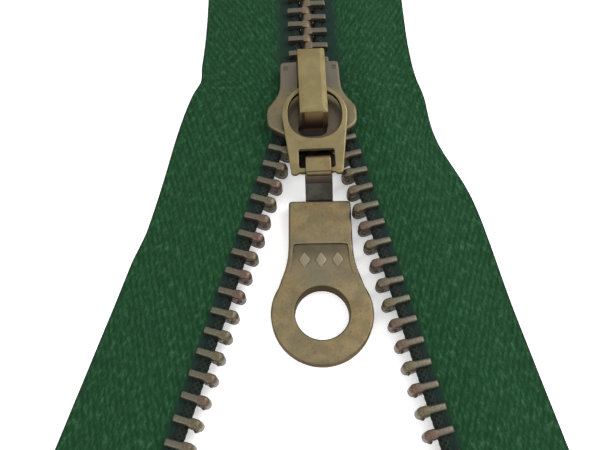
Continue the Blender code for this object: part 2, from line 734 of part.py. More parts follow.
def make_tab(paints, link_hub, eye):
    """The pull: a flat block with a slot for the link, a sunk band with raised lozenges, and a ring."""
    hub = add_empty("tab_axis", (0, *eye), link_hub, (0, 0, TAB_YAW))
    low = -PIN_AT.z
    high = low + TAB_THICK
    outline = both_sides(tab_half_outline())
    tab = add("pull_tab", prism_mesh("pull_tab", outline, low, high), paints["pull"], hub)
    bevel(tab, 0.22 * MM, 2)
    ring = TAB_RING_AT - PIN_AT.y
    hole = arc((0, ring), TAB_HOLE_RADIUS, 0, 350, 35)
    combine(tab, cutter("tab_hole", hole, low - MM, high + MM), "DIFFERENCE")
    slot_half = LINK_WIDTH / 2 + LINK_SIDE_PLAY
    y_half, z_half = TAB_SLOT
    slot = rectangle(-y_half, 2 * MM, -z_half, z_half)
    combine(tab, cutter("tab_slot", slot, -slot_half, slot_half, "x"), "DIFFERENCE")
    wide = TAB_HALF_WIDTH - TAB_WALL
    bore = arc((0, 0), PIN_RADIUS + PIN_PLAY, 0, 330, 11)
    combine(tab, cutter("pin_bore", bore, -wide, wide, "x"), "DIFFERENCE")
    band_top, band_low = TAB_BAND
    sides = [(0, band_top), (3.5 * MM, band_top), (4.1 * MM, band_low + 0.3 * MM)]
    sunk = both_sides(sides + arc((0, ring), TAB_BAND_RING, 56, 90, 5))
    combine(tab, cutter("tab_band", sunk, high - TAB_BAND_DEPTH, high + MM), "DIFFERENCE")
    for column in (-1, 0, 1):
        shape = lozenge(column * LOZENGE_SPACING, LOZENGE_AT)
        root, top = high - 0.5 * MM, high - LOZENGE_BELOW_FACE
        mark = cutter(f"tab_lozenge_{column + 2}", shape, root, top)
        combine(tab, mark, "UNION")
    smooth(tab)
    turned = arc((0, 0), PIN_RADIUS, 0, 330, 11)
    half_length = wide - PIN_END_PLAY
    pin = prism_mesh("tab_pin", turned, -half_length, half_length, "x")
    smooth(add("tab_pin", pin, paints["steel"], hub))


# ---- lock ------------------------------------------------------------------


def make_lock(paints, slider_hub):
    """An arched pawl over the bail's bar, its tip dropping between two teeth, and the leaf that presses it."""
    hub = add_empty("pawl_axis", PAWL_PIVOT, slider_hub)
    arch = scaled(
        [
            (-2.4, 5.2),
            (-2.4, 7.5),
            (3.75, 7.5),
            (3.75, 5.3),
            (3.2, 5.3),
            (3.2, 7.2),
            (-1.9, 7.2),
            (-1.9, 5.2),
        ]
    )
    side = [(y - PAWL_PIVOT.y, z - PAWL_PIVOT.z) for y, z in arch]
    mesh = prism_mesh("lock_pawl", side, *PAWL_SIDES, "x")
    pawl = add("lock_pawl", mesh, paints["steel"], hub)
    tip = [
        (y - PAWL_PIVOT.y, z - PAWL_PIVOT.z)
        for y, z in scaled([(3.22, 5.6), (3.72, 5.6), (3.66, 3.6), (3.28, 3.6)])
    ]
    combine(pawl, cutter("pawl_tip", tip, *PAWL_TIP_SIDES, "x"), "UNION")
    steps = 8
    start, end = SPRING_ENDS
    bow = []
    for i in range(steps + 1):
        t = i / steps
        bow.append((start + (end - start) * t, SPRING_LOW + SPRING_BOW * math.sin(math.pi * t)))
    leaf = bow + [(y, z + SPRING_THICK) for y, z in reversed(bow)]
    spring = prism_mesh("pawl_spring", leaf, -SPRING_HALF_WIDTH, SPRING_HALF_WIDTH, "x")
    add("pawl_spring", spring, paints["steel"], slider_hub)


def main():
    clear_scene()
    paints = make_materials()
    teeth = make_tooth_mesh()
    for side in SIGN:
        teeth[side].materials.clear()
        teeth[side].materials.append(paints["teeth"])
    make_closed_chain(paints, teeth)
    make_bottom_stop(paints)
    make_bend(teeth)
    for side in SIGN:
        leg = make_leg(side, paints, teeth)
        make_leg_end(side, paints, teeth, leg)
    slider_hub = add_empty("slider_axis", (0, 0, 0))
    make_slider_body(paints, slider_hub)
    make_cap(paints, slider_hub)
    make_lock(paints, slider_hub)
    bail_hub = make_bail(paints, slider_hub)
    link_hub, eye = make_link(paints, bail_hub)
    make_tab(paints, link_hub, eye)


main()
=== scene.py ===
"""Looks of a part-open metal zipper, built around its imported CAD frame.

Lengths in the constants are millimetres, and are turned into metres where they are used. X runs across
the zipper, Y along it towards its closed end, and Z up. Every stringer is laid out straight, as if the
zipper were closed, and then bent into place by the same rule as the CAD stringers.
"""

import json
import math
import random

import bmesh
import bpy
import numpy as np
from mathutils import Matrix, Vector


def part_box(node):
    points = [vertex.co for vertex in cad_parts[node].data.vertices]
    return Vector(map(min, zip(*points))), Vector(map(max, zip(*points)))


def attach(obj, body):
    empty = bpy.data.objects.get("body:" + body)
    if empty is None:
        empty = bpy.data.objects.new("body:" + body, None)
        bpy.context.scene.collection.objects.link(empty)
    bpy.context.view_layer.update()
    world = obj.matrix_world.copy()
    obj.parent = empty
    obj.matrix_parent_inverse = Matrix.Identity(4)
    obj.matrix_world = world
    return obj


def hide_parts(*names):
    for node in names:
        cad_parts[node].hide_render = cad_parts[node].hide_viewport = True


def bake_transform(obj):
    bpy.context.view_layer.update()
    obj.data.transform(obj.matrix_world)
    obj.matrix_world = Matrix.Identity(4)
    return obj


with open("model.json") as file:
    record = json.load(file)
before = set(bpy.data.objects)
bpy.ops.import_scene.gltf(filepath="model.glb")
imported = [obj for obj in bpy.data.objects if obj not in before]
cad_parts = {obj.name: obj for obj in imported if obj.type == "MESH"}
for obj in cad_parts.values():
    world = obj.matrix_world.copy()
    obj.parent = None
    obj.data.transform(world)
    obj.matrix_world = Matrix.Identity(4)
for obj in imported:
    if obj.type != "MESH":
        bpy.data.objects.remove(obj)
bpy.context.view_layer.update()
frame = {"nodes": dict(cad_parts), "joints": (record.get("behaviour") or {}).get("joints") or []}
MM = 0.001
joints = {joint["name"]: joint for joint in frame["joints"]}

# ---- the chain's layout ----

SIDES = ("left", "right")
SIGN = {"left": -1, "right": 1}
PITCH = 2.67
LAST_CLOSED_TOOTH = {"left": 6.13, "right": 6.13 - PITCH / 2}
CLOSED_TEETH = 7
BEND_TEETH = 4
OPEN_TEETH = {"left": 22, "right": 21}
END_TEETH = 4
CHAIN_MID = 2.55
TOOTH_HALF_HEIGHT = 1.45
LEG_END = 2.9
GRIP_START = 0.9
GRIP_HALF_HEIGHT = 0.65
CORD_OUTER = 2.25
TAPE_INNER = 2.3
TAPE_OUTER = 15.4
TAPE_FLAT_TO = 6.7
TAPE_HALF_THICK = 0.27
TAPE_DROOP = 2.25
TAPE_ENDS = (40.0, -88.0)
TAPE_SPLIT = -40.0
SLIDER_TRAVEL = joints["slider_travel"]["range_m"][1] / MM
BEND_START, BEND_LENGTH = 4.5, 11.0
BEND_SLANT, BEND_SLANT_FROM = 0.4, 2.0
POLE = {side: Vector(joints[side + "_leg_swing"]["pos_m"]) / MM for side in SIDES}
SPREAD = {side: math.radians(max(map(abs, joints[side + "_leg_swing"]["range_deg"]))) for side in SIDES}


def smoothstep(t):
    t = np.clip(t, 0.0, 1.0)
    return t * t * (3 - 2 * t)


def bend_progress(x, y):
    return (BEND_START + BEND_SLANT * (np.abs(x) - BEND_SLANT_FROM) - y) / BEND_LENGTH


def bent(side, points):
    """Points of the straight stringer, in millimetres, where they lie in the open zipper, in millimetres."""
    points = np.array(points, float)
    pole = np.array(POLE[side])
    turn = SIGN[side] * SPREAD[side] * smoothstep(bend_progress(points[:, 0], points[:, 1]))
    x, y = points[:, 0] - pole[0], points[:, 1] - pole[1]
    cos, sin = np.cos(turn), np.sin(turn)
    return np.stack([pole[0] + x * cos - y * sin, pole[1] + x * sin + y * cos, points[:, 2]], 1)


def tooth_matrix(side, y):
    """Where a tooth of the straight chain at that y stands, in metres."""
    share = float(smoothstep(bend_progress(BEND_SLANT_FROM, y)))
    pole = POLE[side]
    turn = Matrix.Rotation(SIGN[side] * SPREAD[side] * share, 4, "Z")
    placed = Matrix.Translation(pole) @ turn @ Matrix.Translation(Vector((0, y, CHAIN_MID)) - pole)
    return Matrix.Scale(MM, 4) @ placed


def blend_line(side, shift):
    samples = [
        (SIGN[side] * x, BEND_START + BEND_SLANT * (x - BEND_SLANT_FROM) - t * BEND_LENGTH - shift, 0)
        for x in np.linspace(BEND_SLANT_FROM, TAPE_OUTER, 12)
        for t in np.linspace(0.02, 0.98, 13)
    ]
    samples = np.array(samples)
    progress = bend_progress(samples[:, 0], samples[:, 1] + shift)
    placed = bent(side, samples)[:, :2]
    known = np.column_stack([np.ones(len(placed)), placed])
    offset, *slope = np.linalg.lstsq(known, progress, rcond=None)[0]
    slope = np.array(slope)
    step = slope / (slope @ slope)
    start = -offset * step
    end = start + step
    return (start[0] * MM, start[1] * MM, 0), (end[0] * MM, end[1] * MM, 0)


# ---- mesh helpers ----


def add(name, data):
    obj = bpy.data.objects.new(name, data)
    bpy.context.scene.collection.objects.link(obj)
    return obj


def painted(name, mesh, material):
    mesh.name = name
    obj = add(name, mesh)
    mesh.materials.clear()
    mesh.materials.append(material)
    return obj


def mesh_of(shape, name="shape"):
    bmesh.ops.recalc_face_normals(shape, faces=shape.faces)
    mesh = bpy.data.meshes.new(name)
    shape.to_mesh(mesh)
    shape.free()
    return mesh


def loft(rings, closed_ends=True):
    """A skin over rings of points, in millimetres, which becomes a mesh in metres."""
    shape = bmesh.new()
    rows = [[shape.verts.new(Vector(p) * MM) for p in ring] for ring in rings]
    count = len(rings[0])
    for one, two in zip(rows, rows[1:]):
        for i in range(count):
            j = (i + 1) % count
            shape.faces.new((one[i], one[j], two[j], two[i]))
    if closed_ends:
        shape.faces.new(rows[0])
        shape.faces.new(rows[-1])
    return mesh_of(shape)


def inset(outline, distance):
    """A closed outline moved inwards, or outwards where distance is negative."""
    points = [Vector(p) for p in outline]
    area = sum(a.x * b.y - b.x * a.y for a, b in zip(points, points[1:] + points[:1]))
    facing = 1 if area > 0 else -1
    moved = []
    for before, here, after in zip(points[-1:] + points[:-1], points, points[1:] + points[:1]):
        one, two = (here - before).normalized(), (after - here).normalized()
        normal = Vector((-one.y - two.y, one.x + two.x)) * facing
        if normal.length < 1e-6:
            moved.append(here.copy())
            continue
        normal.normalize()
        across = Vector((-one.y, one.x)) * facing
        moved.append(here + normal * (distance / max(0.5, normal.dot(across))))
    return moved


AXES = {
    "z": lambda p, t: (p[0], p[1], t),
    "y": lambda p, t: (p[0], t, p[1]),
    "x": lambda p, t: (t, p[0], p[1]),
}


def quarter_round(radius, steps):
    """Pairs of distances, the first growing from 0 to the radius and the second shrinking to 0."""
    turns = [math.pi / 2 * i / steps for i in range(steps + 1)]
    return [(radius * (1 - math.cos(t)), radius * (1 - math.sin(t))) for t in turns]


def rounded(outline, low, high, radius, axis="z", steps=4, ease=0):
    """An outline pushed along an axis, with its two rims rounded to that radius and its corners eased."""
    near = [(low + rise, depth) for depth, rise in reversed(quarter_round(radius, steps))]
    levels = near + [(low + high - t, depth) for t, depth in reversed(near)]
    return loft([[AXES[axis](p, t) for p in eased(inset(outline, depth), ease)] for t, depth in levels])


def flared(outline, low, high, radius, steps=4):
    """A cutter, along Z, for a hole whose two rims are rounded to that radius."""
    near = [(low - 1, -radius)] + [(low + rise, -depth) for rise, depth in quarter_round(radius, steps)]
    levels = near + [(low + high - t, depth) for t, depth in reversed(near)]
    return loft([[AXES["z"](p, t) for p in inset(outline, depth)] for t, depth in levels])


def prism(outline, low, high, axis="z"):
    return loft([[AXES[axis](p, t) for p in outline] for t in (low, high)])


def arc(centre, radius, start, end, steps):
    """Points of an arc from angle start to angle end, in degrees."""
    turns = [math.radians(start + (end - start) * i / steps) for i in range(steps + 1)]
    return [(centre[0] + radius * math.cos(t), centre[1] + radius * math.sin(t)) for t in turns]


def rectangle(x_low, x_high, y_low, y_high):
    return [(x_low, y_low), (x_high, y_low), (x_high, y_high), (x_low, y_high)]


def soft_rectangle(x_low, x_high, y_low, y_high, radius, steps=5):
    corners = (
        ((x_high - radius, y_high - radius), 0),
        ((x_low + radius, y_high - radius), 90),
        ((x_low + radius, y_low + radius), 180),
        ((x_high - radius, y_low + radius), 270),
    )
    return [p for centre, start in corners for p in arc(centre, radius, start, start + 90, steps)]


def both_sides(half):
    """A closed outline from its right half, given from one end of the centreline to the other."""
    return half + [(-x, y) for x, y in reversed(half) if abs(x) > 1e-6]


def eased(outline, rounds=2):
    """A closed outline with its corners cut again and again, until it is a smooth curve."""
    for _ in range(rounds):
        cut = []
        for (ax, ay), (bx, by) in zip(outline, outline[1:] + outline[:1]):
            cut.append((ax * 0.75 + bx * 0.25, ay * 0.75 + by * 0.25))
            cut.append((ax * 0.25 + bx * 0.75, ay * 0.25 + by * 0.75))
        outline = cut
    return outline


def modified(mesh, kind, **settings):
    """A new mesh in place of this one, with a modifier applied."""
    body = add("body", mesh)
    step = body.modifiers.new("step", kind)
    for key, value in settings.items():
        setattr(step, key, value)
    graph = bpy.context.evaluated_depsgraph_get()
    made = bpy.data.meshes.new_from_object(body.evaluated_get(graph), depsgraph=graph)
    bpy.data.objects.remove(body)
    bpy.data.meshes.remove(mesh)
    return made


def boolean(mesh, other, operation="DIFFERENCE"):
    """Two meshes combined into a new one."""
    tool = add("tool", other)
    made = modified(mesh, "BOOLEAN", operation=operation, solver="EXACT", object=tool)
    bpy.data.objects.remove(tool)
    bpy.data.meshes.remove(other)
    return made


def shade(mesh, angle=38):
    mesh.shade_smooth()
    mesh.set_sharp_from_angle(angle=math.radians(angle))


def metal_piece(name, mesh, material, body, nodes=(), matrix=None, bend=None):
    """A hard piece, smooth but with flat flats, that rides on its body and stands for its CAD nodes.

    With a bend, it stays fixed where it is made, and body is not used.
    """
    if matrix is not None:
        mesh.transform(matrix)
    shade(mesh)
    obj = painted(name, mesh, material)
    flats = obj.modifiers.new("flats", "WEIGHTED_NORMAL")
    flats.keep_sharp = True
    if bend:
        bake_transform(obj)
    else:
        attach(obj, body)
    if nodes:
        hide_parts(*nodes)
    return obj


def set_attribute(mesh, name, values, kind="FLOAT"):
    made = mesh.attributes.new(name, kind, "POINT")
    key = "value" if kind == "FLOAT" else "vector"
    made.data.foreach_set(key, np.asarray(values, np.float32).ravel())


def points_of(mesh):
    flat = np.zeros(len(mesh.vertices) * 3, np.float32)
    mesh.vertices.foreach_get("co", flat)
    return flat.reshape(-1, 3).astype(float)


# ---- materials ----


STUDIO = (0.66, 0.66, 0.66)


class Paint:
    """A node material with short calls for the nodes that these materials share."""

    def __init__(self, name, roughness=0.5, metallic=0.0):
        self.material = bpy.data.materials.new(name)
        self.material.use_nodes = True
        self.tree = self.material.node_tree
        self.shader = self.tree.nodes["Principled BSDF"]
        self.constants({"Roughness": roughness, "Metallic": metallic})

    def constants(self, values):
        """What is the same all over the surface, set on the shader's own sockets."""
        for key, value in values.items():
            self.put(value, self.shader.inputs[key])

    def node(self, kind, values=None, **settings):
        made = self.tree.nodes.new("ShaderNode" + kind)
        for key, value in settings.items():
            setattr(made, key, value)
        for key, value in (values or {}).items():
            self.put(value, made.inputs[key])
        return made

    def put(self, value, socket):
        if isinstance(value, bpy.types.NodeSocket):
            self.tree.links.new(value, socket)
        elif isinstance(value, tuple) and len(value) == 3 and socket.type == "RGBA":
            socket.default_value = (*value, 1)
        else:
            socket.default_value = value

    def math(self, operation, one, two=0.0):
        return self.node("Math", {0: one, 1: two}, operation=operation).outputs[0]

    def plus(self, one, two):
        return self.math("ADD", one, two)

    def minus(self, one, two):
        return self.math("SUBTRACT", one, two)

    def times(self, one, two):
        return self.math("MULTIPLY", one, two)

    def mix(self, share, one, two, kind="MIX"):
        made = self.node("Mix", data_type="RGBA", blend_type=kind)
        for socket, value in zip((made.inputs[0], made.inputs[6], made.inputs[7]), (share, one, two)):
            self.put(value, socket)
        return made.outputs[2]

    def noise(self, scale, detail=3.0, vector=None, roughness=0.55, distortion=0.0):
        values = {"Scale": scale, "Detail": detail, "Roughness": roughness, "Distortion": distortion}
        if vector is not None:
            values["Vector"] = vector
        return self.node("TexNoise", values).outputs["Fac"]

    def span(self, value, low, high, to_low=0.0, to_high=1.0):
        values = {"Value": value, "From Min": low, "From Max": high, "To Min": to_low, "To Max": to_high}
        return self.node("MapRange", values, interpolation_type="SMOOTHSTEP").outputs[0]

    def place(self):
        """Position on the piece, in millimetres."""
        local = self.node("TexCoord").outputs["Object"]
        values = {0: local, "Scale": 1 / MM}
        return self.node("VectorMath", values, operation="SCALE").outputs[0]

    def split(self, vector):
        """Its X, Y and Z."""
        return tuple(self.node("SeparateXYZ", {0: vector}).outputs)

    def attribute(self, name, output="Fac"):
        return self.node("Attribute", attribute_name=name).outputs[output]

    def bump(self, height, strength, distance):
        values = {"Height": height, "Strength": strength, "Distance": distance * MM}
        return self.node("Bump", values).outputs[0]

    def finish(self, colour, normal=None, roughness=None):
        """The colours above are as a camera meters them, so they are darkened for this bright studio."""
        if not isinstance(colour, tuple):
            colour = self.mix(1.0, colour, STUDIO, "MULTIPLY")
        self.put(colour, self.shader.inputs["Base Color"])
        if normal is not None:
            self.put(normal, self.shader.inputs["Normal"])
        if roughness is not None:
            self.put(roughness, self.shader.inputs["Roughness"])
        return self.material


def antique_brass(
    name, light, dark, patina, roughness, mottle, edge=None, tints=(), rub=0.16, side_shade=0.3, grime_and_shade=0.85
):
    """Plated brass in two tones with a dark patina, its edges lightened by wear and by a painted highlight.

    mottle, sides and grime are the patina's strength in patches, on upright faces as painted shade, and in
    corners as dirt and painted shade.
    rub is how wide an edge is lightened, and tints are pairs of a mask and a colour.
    """
    paint = Paint(name, roughness, 0.85)
    paint.constants({"Specular Tint": (0.55, 0.48, 0.38)})
    place = paint.place()
    cloud = paint.noise(0.5, 4.0, place)
    drift = paint.noise(0.23, 2.0, place)
    speck = paint.noise(3.2, 5.0, place, 0.65)
    fine = paint.noise(14.0, 2.0, place)
    tone = paint.mix(paint.span(cloud, 0.36, 0.66), dark, light)
    warm = paint.times(paint.span(drift, 0.45, 0.65), 0.35)
    tone = paint.mix(warm, tone, (1.0, 0.83, 0.66), "MULTIPLY")
    spots = paint.times(paint.span(speck, 0.5, 0.72), mottle)
    tone = paint.mix(spots, tone, patina)
    # Dirt and painted shade: corners, found by ambient occlusion, are darkened towards the patina.
    corner = paint.node("AmbientOcclusion", {"Distance": 1.1 * MM}, samples=8).outputs["AO"]
    tone = paint.mix(paint.times(paint.span(corner, 0.9, 0.35), grime_and_shade), tone, patina)
    soft = paint.node("Bevel", {"Radius": rub * MM}, samples=6).outputs[0]
    true = paint.node("NewGeometry").outputs["Normal"]
    # Painted shade: faces that stand upright are darkened towards the patina.
    upright = paint.math("ABSOLUTE", paint.split(true)[2])
    tone = paint.mix(paint.span(upright, 0.6, 0.1, 0.0, side_shade), tone, patina)
    # Wear and painted highlight: where the rounded normal turns from the true one, edges are lightened, less
    # in corners.
    turned = paint.node("VectorMath", {0: soft, 1: true}, operation="DOT_PRODUCT").outputs["Value"]
    wear_and_highlight = paint.times(paint.span(turned, 0.985, 0.86), paint.span(corner, 0.5, 0.9))
    tone = paint.mix(paint.times(wear_and_highlight, 0.6), tone, edge or light)
    for mask, tint in tints:
        tone = paint.mix(mask(paint, place), tone, tint)
    rough = paint.plus(roughness - 0.1, paint.times(speck, 0.22))
    height = paint.plus(paint.times(speck, 0.7), paint.times(fine, 0.3))
    return paint.finish(tone, paint.bump(height, 0.35, 0.05), rough)


def box_mask(x_half, y_low, y_high, z_high, soft=0.12, x_middle=0.0):
    """A recess: 1 inside the box about x = x_middle and below z_high, and 0 outside it, in millimetres."""

    def mask(paint, place):
        x, y, z = paint.split(place)
        x = paint.math("ABSOLUTE", paint.minus(x, x_middle))
        inside = paint.span(x, x_half + soft, x_half - soft)
        inside = paint.times(inside, paint.span(y, y_low - soft, y_low + soft))
        inside = paint.times(inside, paint.span(y, y_high + soft, y_high - soft))
        return paint.times(inside, paint.span(z, z_high + soft, z_high - soft))

    return mask


def disc_mask(radius, y_middle, x_middle, soft, share):
    """An upright round column about a point, in millimetres."""

    def mask(paint, place):
        x, y, _ = paint.split(place)
        x, y = paint.minus(x, x_middle), paint.minus(y, y_middle)
        away = paint.math("SQRT", paint.plus(paint.times(x, x), paint.times(y, y)))
        return paint.span(away, radius + soft, radius - soft, 0.0, share)

    return mask


def fading(mask, axis, start, end, at_start, at_end):
    """A mask whose strength changes along an axis, 0 for X to 2 for Z, from at_start to at_end."""

    def faded(paint, place):
        share = paint.span(paint.split(place)[axis], start, end, at_start, at_end)
        return paint.times(mask(paint, place), share)

    return faded


def tooth_brass():
    """Teeth: olive-plated legs, heads worn to a coppery brown that differs from tooth to tooth, and painted
    shade in their nooks.
    """
    paint = Paint("tooth_brass", 0.4, 0.8)
    place = paint.place()
    speck = paint.noise(4.5, 4.0, place, 0.6)
    tip = paint.attribute("tip")
    tone = paint.attribute("tone")
    legs = paint.mix(paint.span(tone, 0.15, 0.85), (0.16, 0.16, 0.105), (0.158, 0.13, 0.1))
    legs = paint.mix(paint.span(speck, 0.35, 0.7), legs, (0.1, 0.092, 0.07))
    copper = paint.mix(paint.span(tone, 0.35, 0.95), (0.15, 0.115, 0.06), (0.155, 0.082, 0.058))
    heads = paint.mix(0.55, legs, copper)
    heads = paint.mix(paint.span(speck, 0.45, 0.75, 0.0, 0.8), heads, (0.075, 0.05, 0.035))
    heads = paint.mix(paint.attribute("closed"), heads, (0.185, 0.135, 0.088))
    share = paint.plus(tip, paint.times(paint.minus(speck, 0.5), 0.7))
    colour = paint.mix(paint.span(share, 0.35, 0.75), legs, heads)
    # Painted shade: nooks between the teeth, found by ambient occlusion, are darkened almost to black, less
    # on closed heads.
    corner = paint.node("AmbientOcclusion", {"Distance": 0.7 * MM}, samples=8).outputs["AO"]
    shade_share = paint.minus(0.7, paint.times(paint.attribute("closed"), 0.45))
    colour = paint.mix(paint.times(paint.span(corner, 0.8, 0.3), shade_share), colour, (0.02, 0.017, 0.013))
    return paint.finish(colour, paint.bump(speck, 0.3, 0.05), paint.span(speck, 0.3, 0.7, 0.33, 0.5))


TWILL_SLANT, FLOATS_PER_MM, YARN_WIDTH = 1.8, 0.7, 0.46


def tape_cloth():
    """Fine twill with uneven yarn: faint diagonal floats, dark gaps and light flecks of fibre."""
    paint = Paint("tape_cloth", 0.92)
    paint.constants({"Sheen Weight": 0.02, "Sheen Roughness": 0.5, "Sheen Tint": (0.35, 0.8, 0.45)})
    paint.constants({"Specular IOR Level": 0.04})
    cloth = paint.attribute("cloth", "Vector")
    drift = paint.node("TexNoise", {"Vector": cloth, "Scale": 1.1, "Detail": 4.0}).outputs["Color"]
    drift = paint.node("VectorMath", {0: drift, 1: (0.5, 0.5, 0.5)}, operation="SUBTRACT").outputs[0]
    drift = paint.node("VectorMath", {0: drift, "Scale": 0.8}, operation="SCALE").outputs[0]
    woven = paint.node("VectorMath", {0: cloth, 1: drift}, operation="ADD").outputs[0]
    across, along, _ = paint.split(woven)
    diagonal = paint.times(paint.minus(along, paint.times(across, TWILL_SLANT)), FLOATS_PER_MM)
    float_line = paint.math("SINE", paint.times(diagonal, math.tau))
    end_line = paint.math("SINE", paint.times(across, math.tau / YARN_WIDTH))
    float_height = paint.span(float_line, -1.0, 1.0)
    end_height = paint.span(end_line, -1.0, 1.0)
    height = paint.times(float_height, paint.plus(0.16, paint.times(end_height, 0.2)))
    leaning = paint.node("Mapping", {"Vector": cloth, "Rotation": (0, 0, -0.5), "Scale": (1.0, 0.5, 1.0)})
    dashes = paint.noise(1.7, 4.0, leaning.outputs[0], 0.68)
    fibres = paint.noise(6.5, 4.0, cloth, 0.7)
    patches = paint.noise(0.8, 4.0, cloth, 0.65)
    height = paint.plus(height, paint.times(dashes, 1.25))
    deep, mid, pale = (0.0085, 0.038, 0.015), (0.024, 0.089, 0.037), (0.066, 0.17, 0.09)
    colour = paint.mix(paint.span(height, 0.4, 1.15), deep, mid)
    flecks = paint.times(paint.span(dashes, 0.53, 0.68), paint.span(fibres, 0.4, 0.6))
    colour = paint.mix(paint.times(flecks, 0.75), colour, pale)
    colour = paint.mix(paint.span(patches, 0.36, 0.64, 0.0, 0.6), colour, (0.01, 0.04, 0.016))
    # Painted shadow: the cloth beside the teeth is darkened, broken up by the fibres.
    edge = paint.span(paint.attribute("shadow_edge"), 0.1, 0.75)
    edge = paint.times(edge, paint.span(fibres, 0.25, 0.6, 0.8, 1.0))
    colour = paint.mix(edge, colour, (0.016, 0.031, 0.026))
    selvedge = paint.span(paint.attribute("selvedge"), 0.3, 0.9, 0.0, 0.7)
    colour = paint.mix(selvedge, colour, (0.014, 0.022, 0.014))
    return paint.finish(colour, paint.bump(height, 0.6, 0.16))


BRAID_LENGTH = 0.75


def cord_cloth():
    """The near-black braid that the teeth are crimped on."""
    paint = Paint("cord_cloth", 0.85)
    paint.constants({"Sheen Weight": 0.02, "Specular IOR Level": 0.12})
    cloth = paint.attribute("cloth", "Vector")
    around, along, _ = paint.split(cloth)
    one = paint.math("SINE", paint.times(paint.plus(along, around), math.tau / BRAID_LENGTH))
    two = paint.math("SINE", paint.times(paint.minus(along, around), math.tau / BRAID_LENGTH))
    height = paint.span(paint.math("MAXIMUM", one, two), -0.6, 1.0)
    fibres = paint.noise(6.0, 3.0, cloth)
    colour = paint.mix(height, (0.006, 0.009, 0.008), (0.019, 0.028, 0.023))
    colour = paint.mix(paint.span(fibres, 0.55, 0.75, 0.0, 0.4), colour, (0.026, 0.042, 0.034))
    return paint.finish(colour, paint.bump(height, 0.45, 0.1))


def spring_steel():
    paint = Paint("spring_steel", 0.34, 1.0)
    place = paint.place()
    stretched = paint.node("Mapping", {"Vector": place, "Scale": (1.0, 9.0, 1.0)}).outputs[0]
    grain = paint.noise(3.0, 4.0, stretched)
    colour = paint.mix(grain, (0.32, 0.32, 0.31), (0.5, 0.5, 0.48))
    return paint.finish(colour, paint.bump(grain, 0.2, 0.03), paint.span(grain, 0.2, 0.8, 0.28, 0.42))


# The parts of the pieces that the metals below tint.
ANY_HEIGHT = 9.0
MARK_PLACES, MARK_HALF, MARK_LOW, MARK_HIGH = (-3.42, 3.42), 0.3, 4.7, 5.45
# Painted shade: the inside of the cap is painted dark.
CAP_INSIDE = box_mask(1.4, -6.0, 5.66, 8.02, 0.04)
PLATE_TAIL = box_mask(5.0, 0.8, 7.0, ANY_HEIGHT, 0.8)
# Painted shade: the plate inside the bail's ring is darkened.
PLATE_DISC = disc_mask(3.9, -3.6, 0.35, 0.5, 0.75)
# Painted shade: the nose pocket is painted dark, darkest at its front.
NOSE_POCKET = box_mask(2.1, -6.6, -4.66, 5.03, 0.05)
# Painted light and shade: the post's face is painted bright brown at its top, fading to painted shade at its
# foot.
POST = box_mask(1.34, -4.9, -3.0, ANY_HEIGHT, 0.05, 0.2)
# Painted shade: the tongue under the bail's window is painted a dark brown.
TONGUE_AREA = box_mask(3.2, -9.7, -6.9, 1.3, 0.2, 0.35)
MARKS = [box_mask(MARK_HALF, MARK_LOW, MARK_HIGH, ANY_HEIGHT, 0.08, x) for x in MARK_PLACES]
TAB_NECK = disc_mask(3.6, -23.8, 0.4, 2.6, 0.45)
# Painted shade: the wall of the ring's hole is darkened.
TAB_HOLE_WALL = disc_mask(3.56, -30.1, 0.106, 0.08, 0.8)
TAB_BAND = box_mask(4.2, -25.7, -20.85, 2.1, 0.04, 0.4)
# Painted shade: a thin dark line along the loop's crease.
LOOP_CREASE = box_mask(4.0, -11.86, -11.74, ANY_HEIGHT, 0.06, 0.5)
WHOLE_LAP = box_mask(4.0, -16.0, -10.0, ANY_HEIGHT, 0.1, 0.5)
# Painted shade for hollows, then the post's painted light brown and its painted shade.
HOLLOW_SHADE, POST_LIT_BROWN, POST_SHADE = (0.065, 0.06, 0.054), (0.5, 0.34, 0.15), (0.11, 0.06, 0.045)
# The second colour is painted shade for the tongue under the bail's window.
MARK_GREEN, TONGUE_SHADE = (0.11, 0.115, 0.085), (0.085, 0.058, 0.052)
Y, Z = 1, 2

SLIDER_BRASS = antique_brass(
    "slider_brass", (0.275, 0.228, 0.118), (0.228, 0.187, 0.094), (0.075, 0.052, 0.034), 0.38, 0.25
)
CAP_BRASS = antique_brass(
    "cap_brass", (0.3, 0.25, 0.12), (0.25, 0.205, 0.1), (0.1, 0.06, 0.04), 0.36, 0.2,
    tints=[(CAP_INSIDE, HOLLOW_SHADE)], side_shade=0.75,
)
PLATE_BRASS = antique_brass(
    "plate_brass", (0.225, 0.195, 0.115), (0.18, 0.155, 0.095), (0.075, 0.058, 0.042), 0.42, 0.4,
    edge=(0.42, 0.38, 0.24), rub=0.3, grime_and_shade=0.7,
    tints=[
        (fading(PLATE_TAIL, Y, 0.5, 3.0, 0.0, 0.75), (0.165, 0.15, 0.125)),
        # painted shade on the plate inside the bail's ring
        (PLATE_DISC, (0.095, 0.072, 0.058)),
        # painted shade in the nose pocket, deepest at its front
        (NOSE_POCKET, HOLLOW_SHADE),
        (fading(NOSE_POCKET, Y, -5.0, -6.0, 0.0, 0.8), (0.03, 0.018, 0.024)),
        # painted light brown on the post's face, fading to painted shade at its foot
        (POST, POST_LIT_BROWN),
        (fading(POST, Z, 7.9, 5.6, 0.0, 1.0), POST_SHADE),
        (TONGUE_AREA, TONGUE_SHADE),
        *((mark, MARK_GREEN) for mark in MARKS),
    ],
)
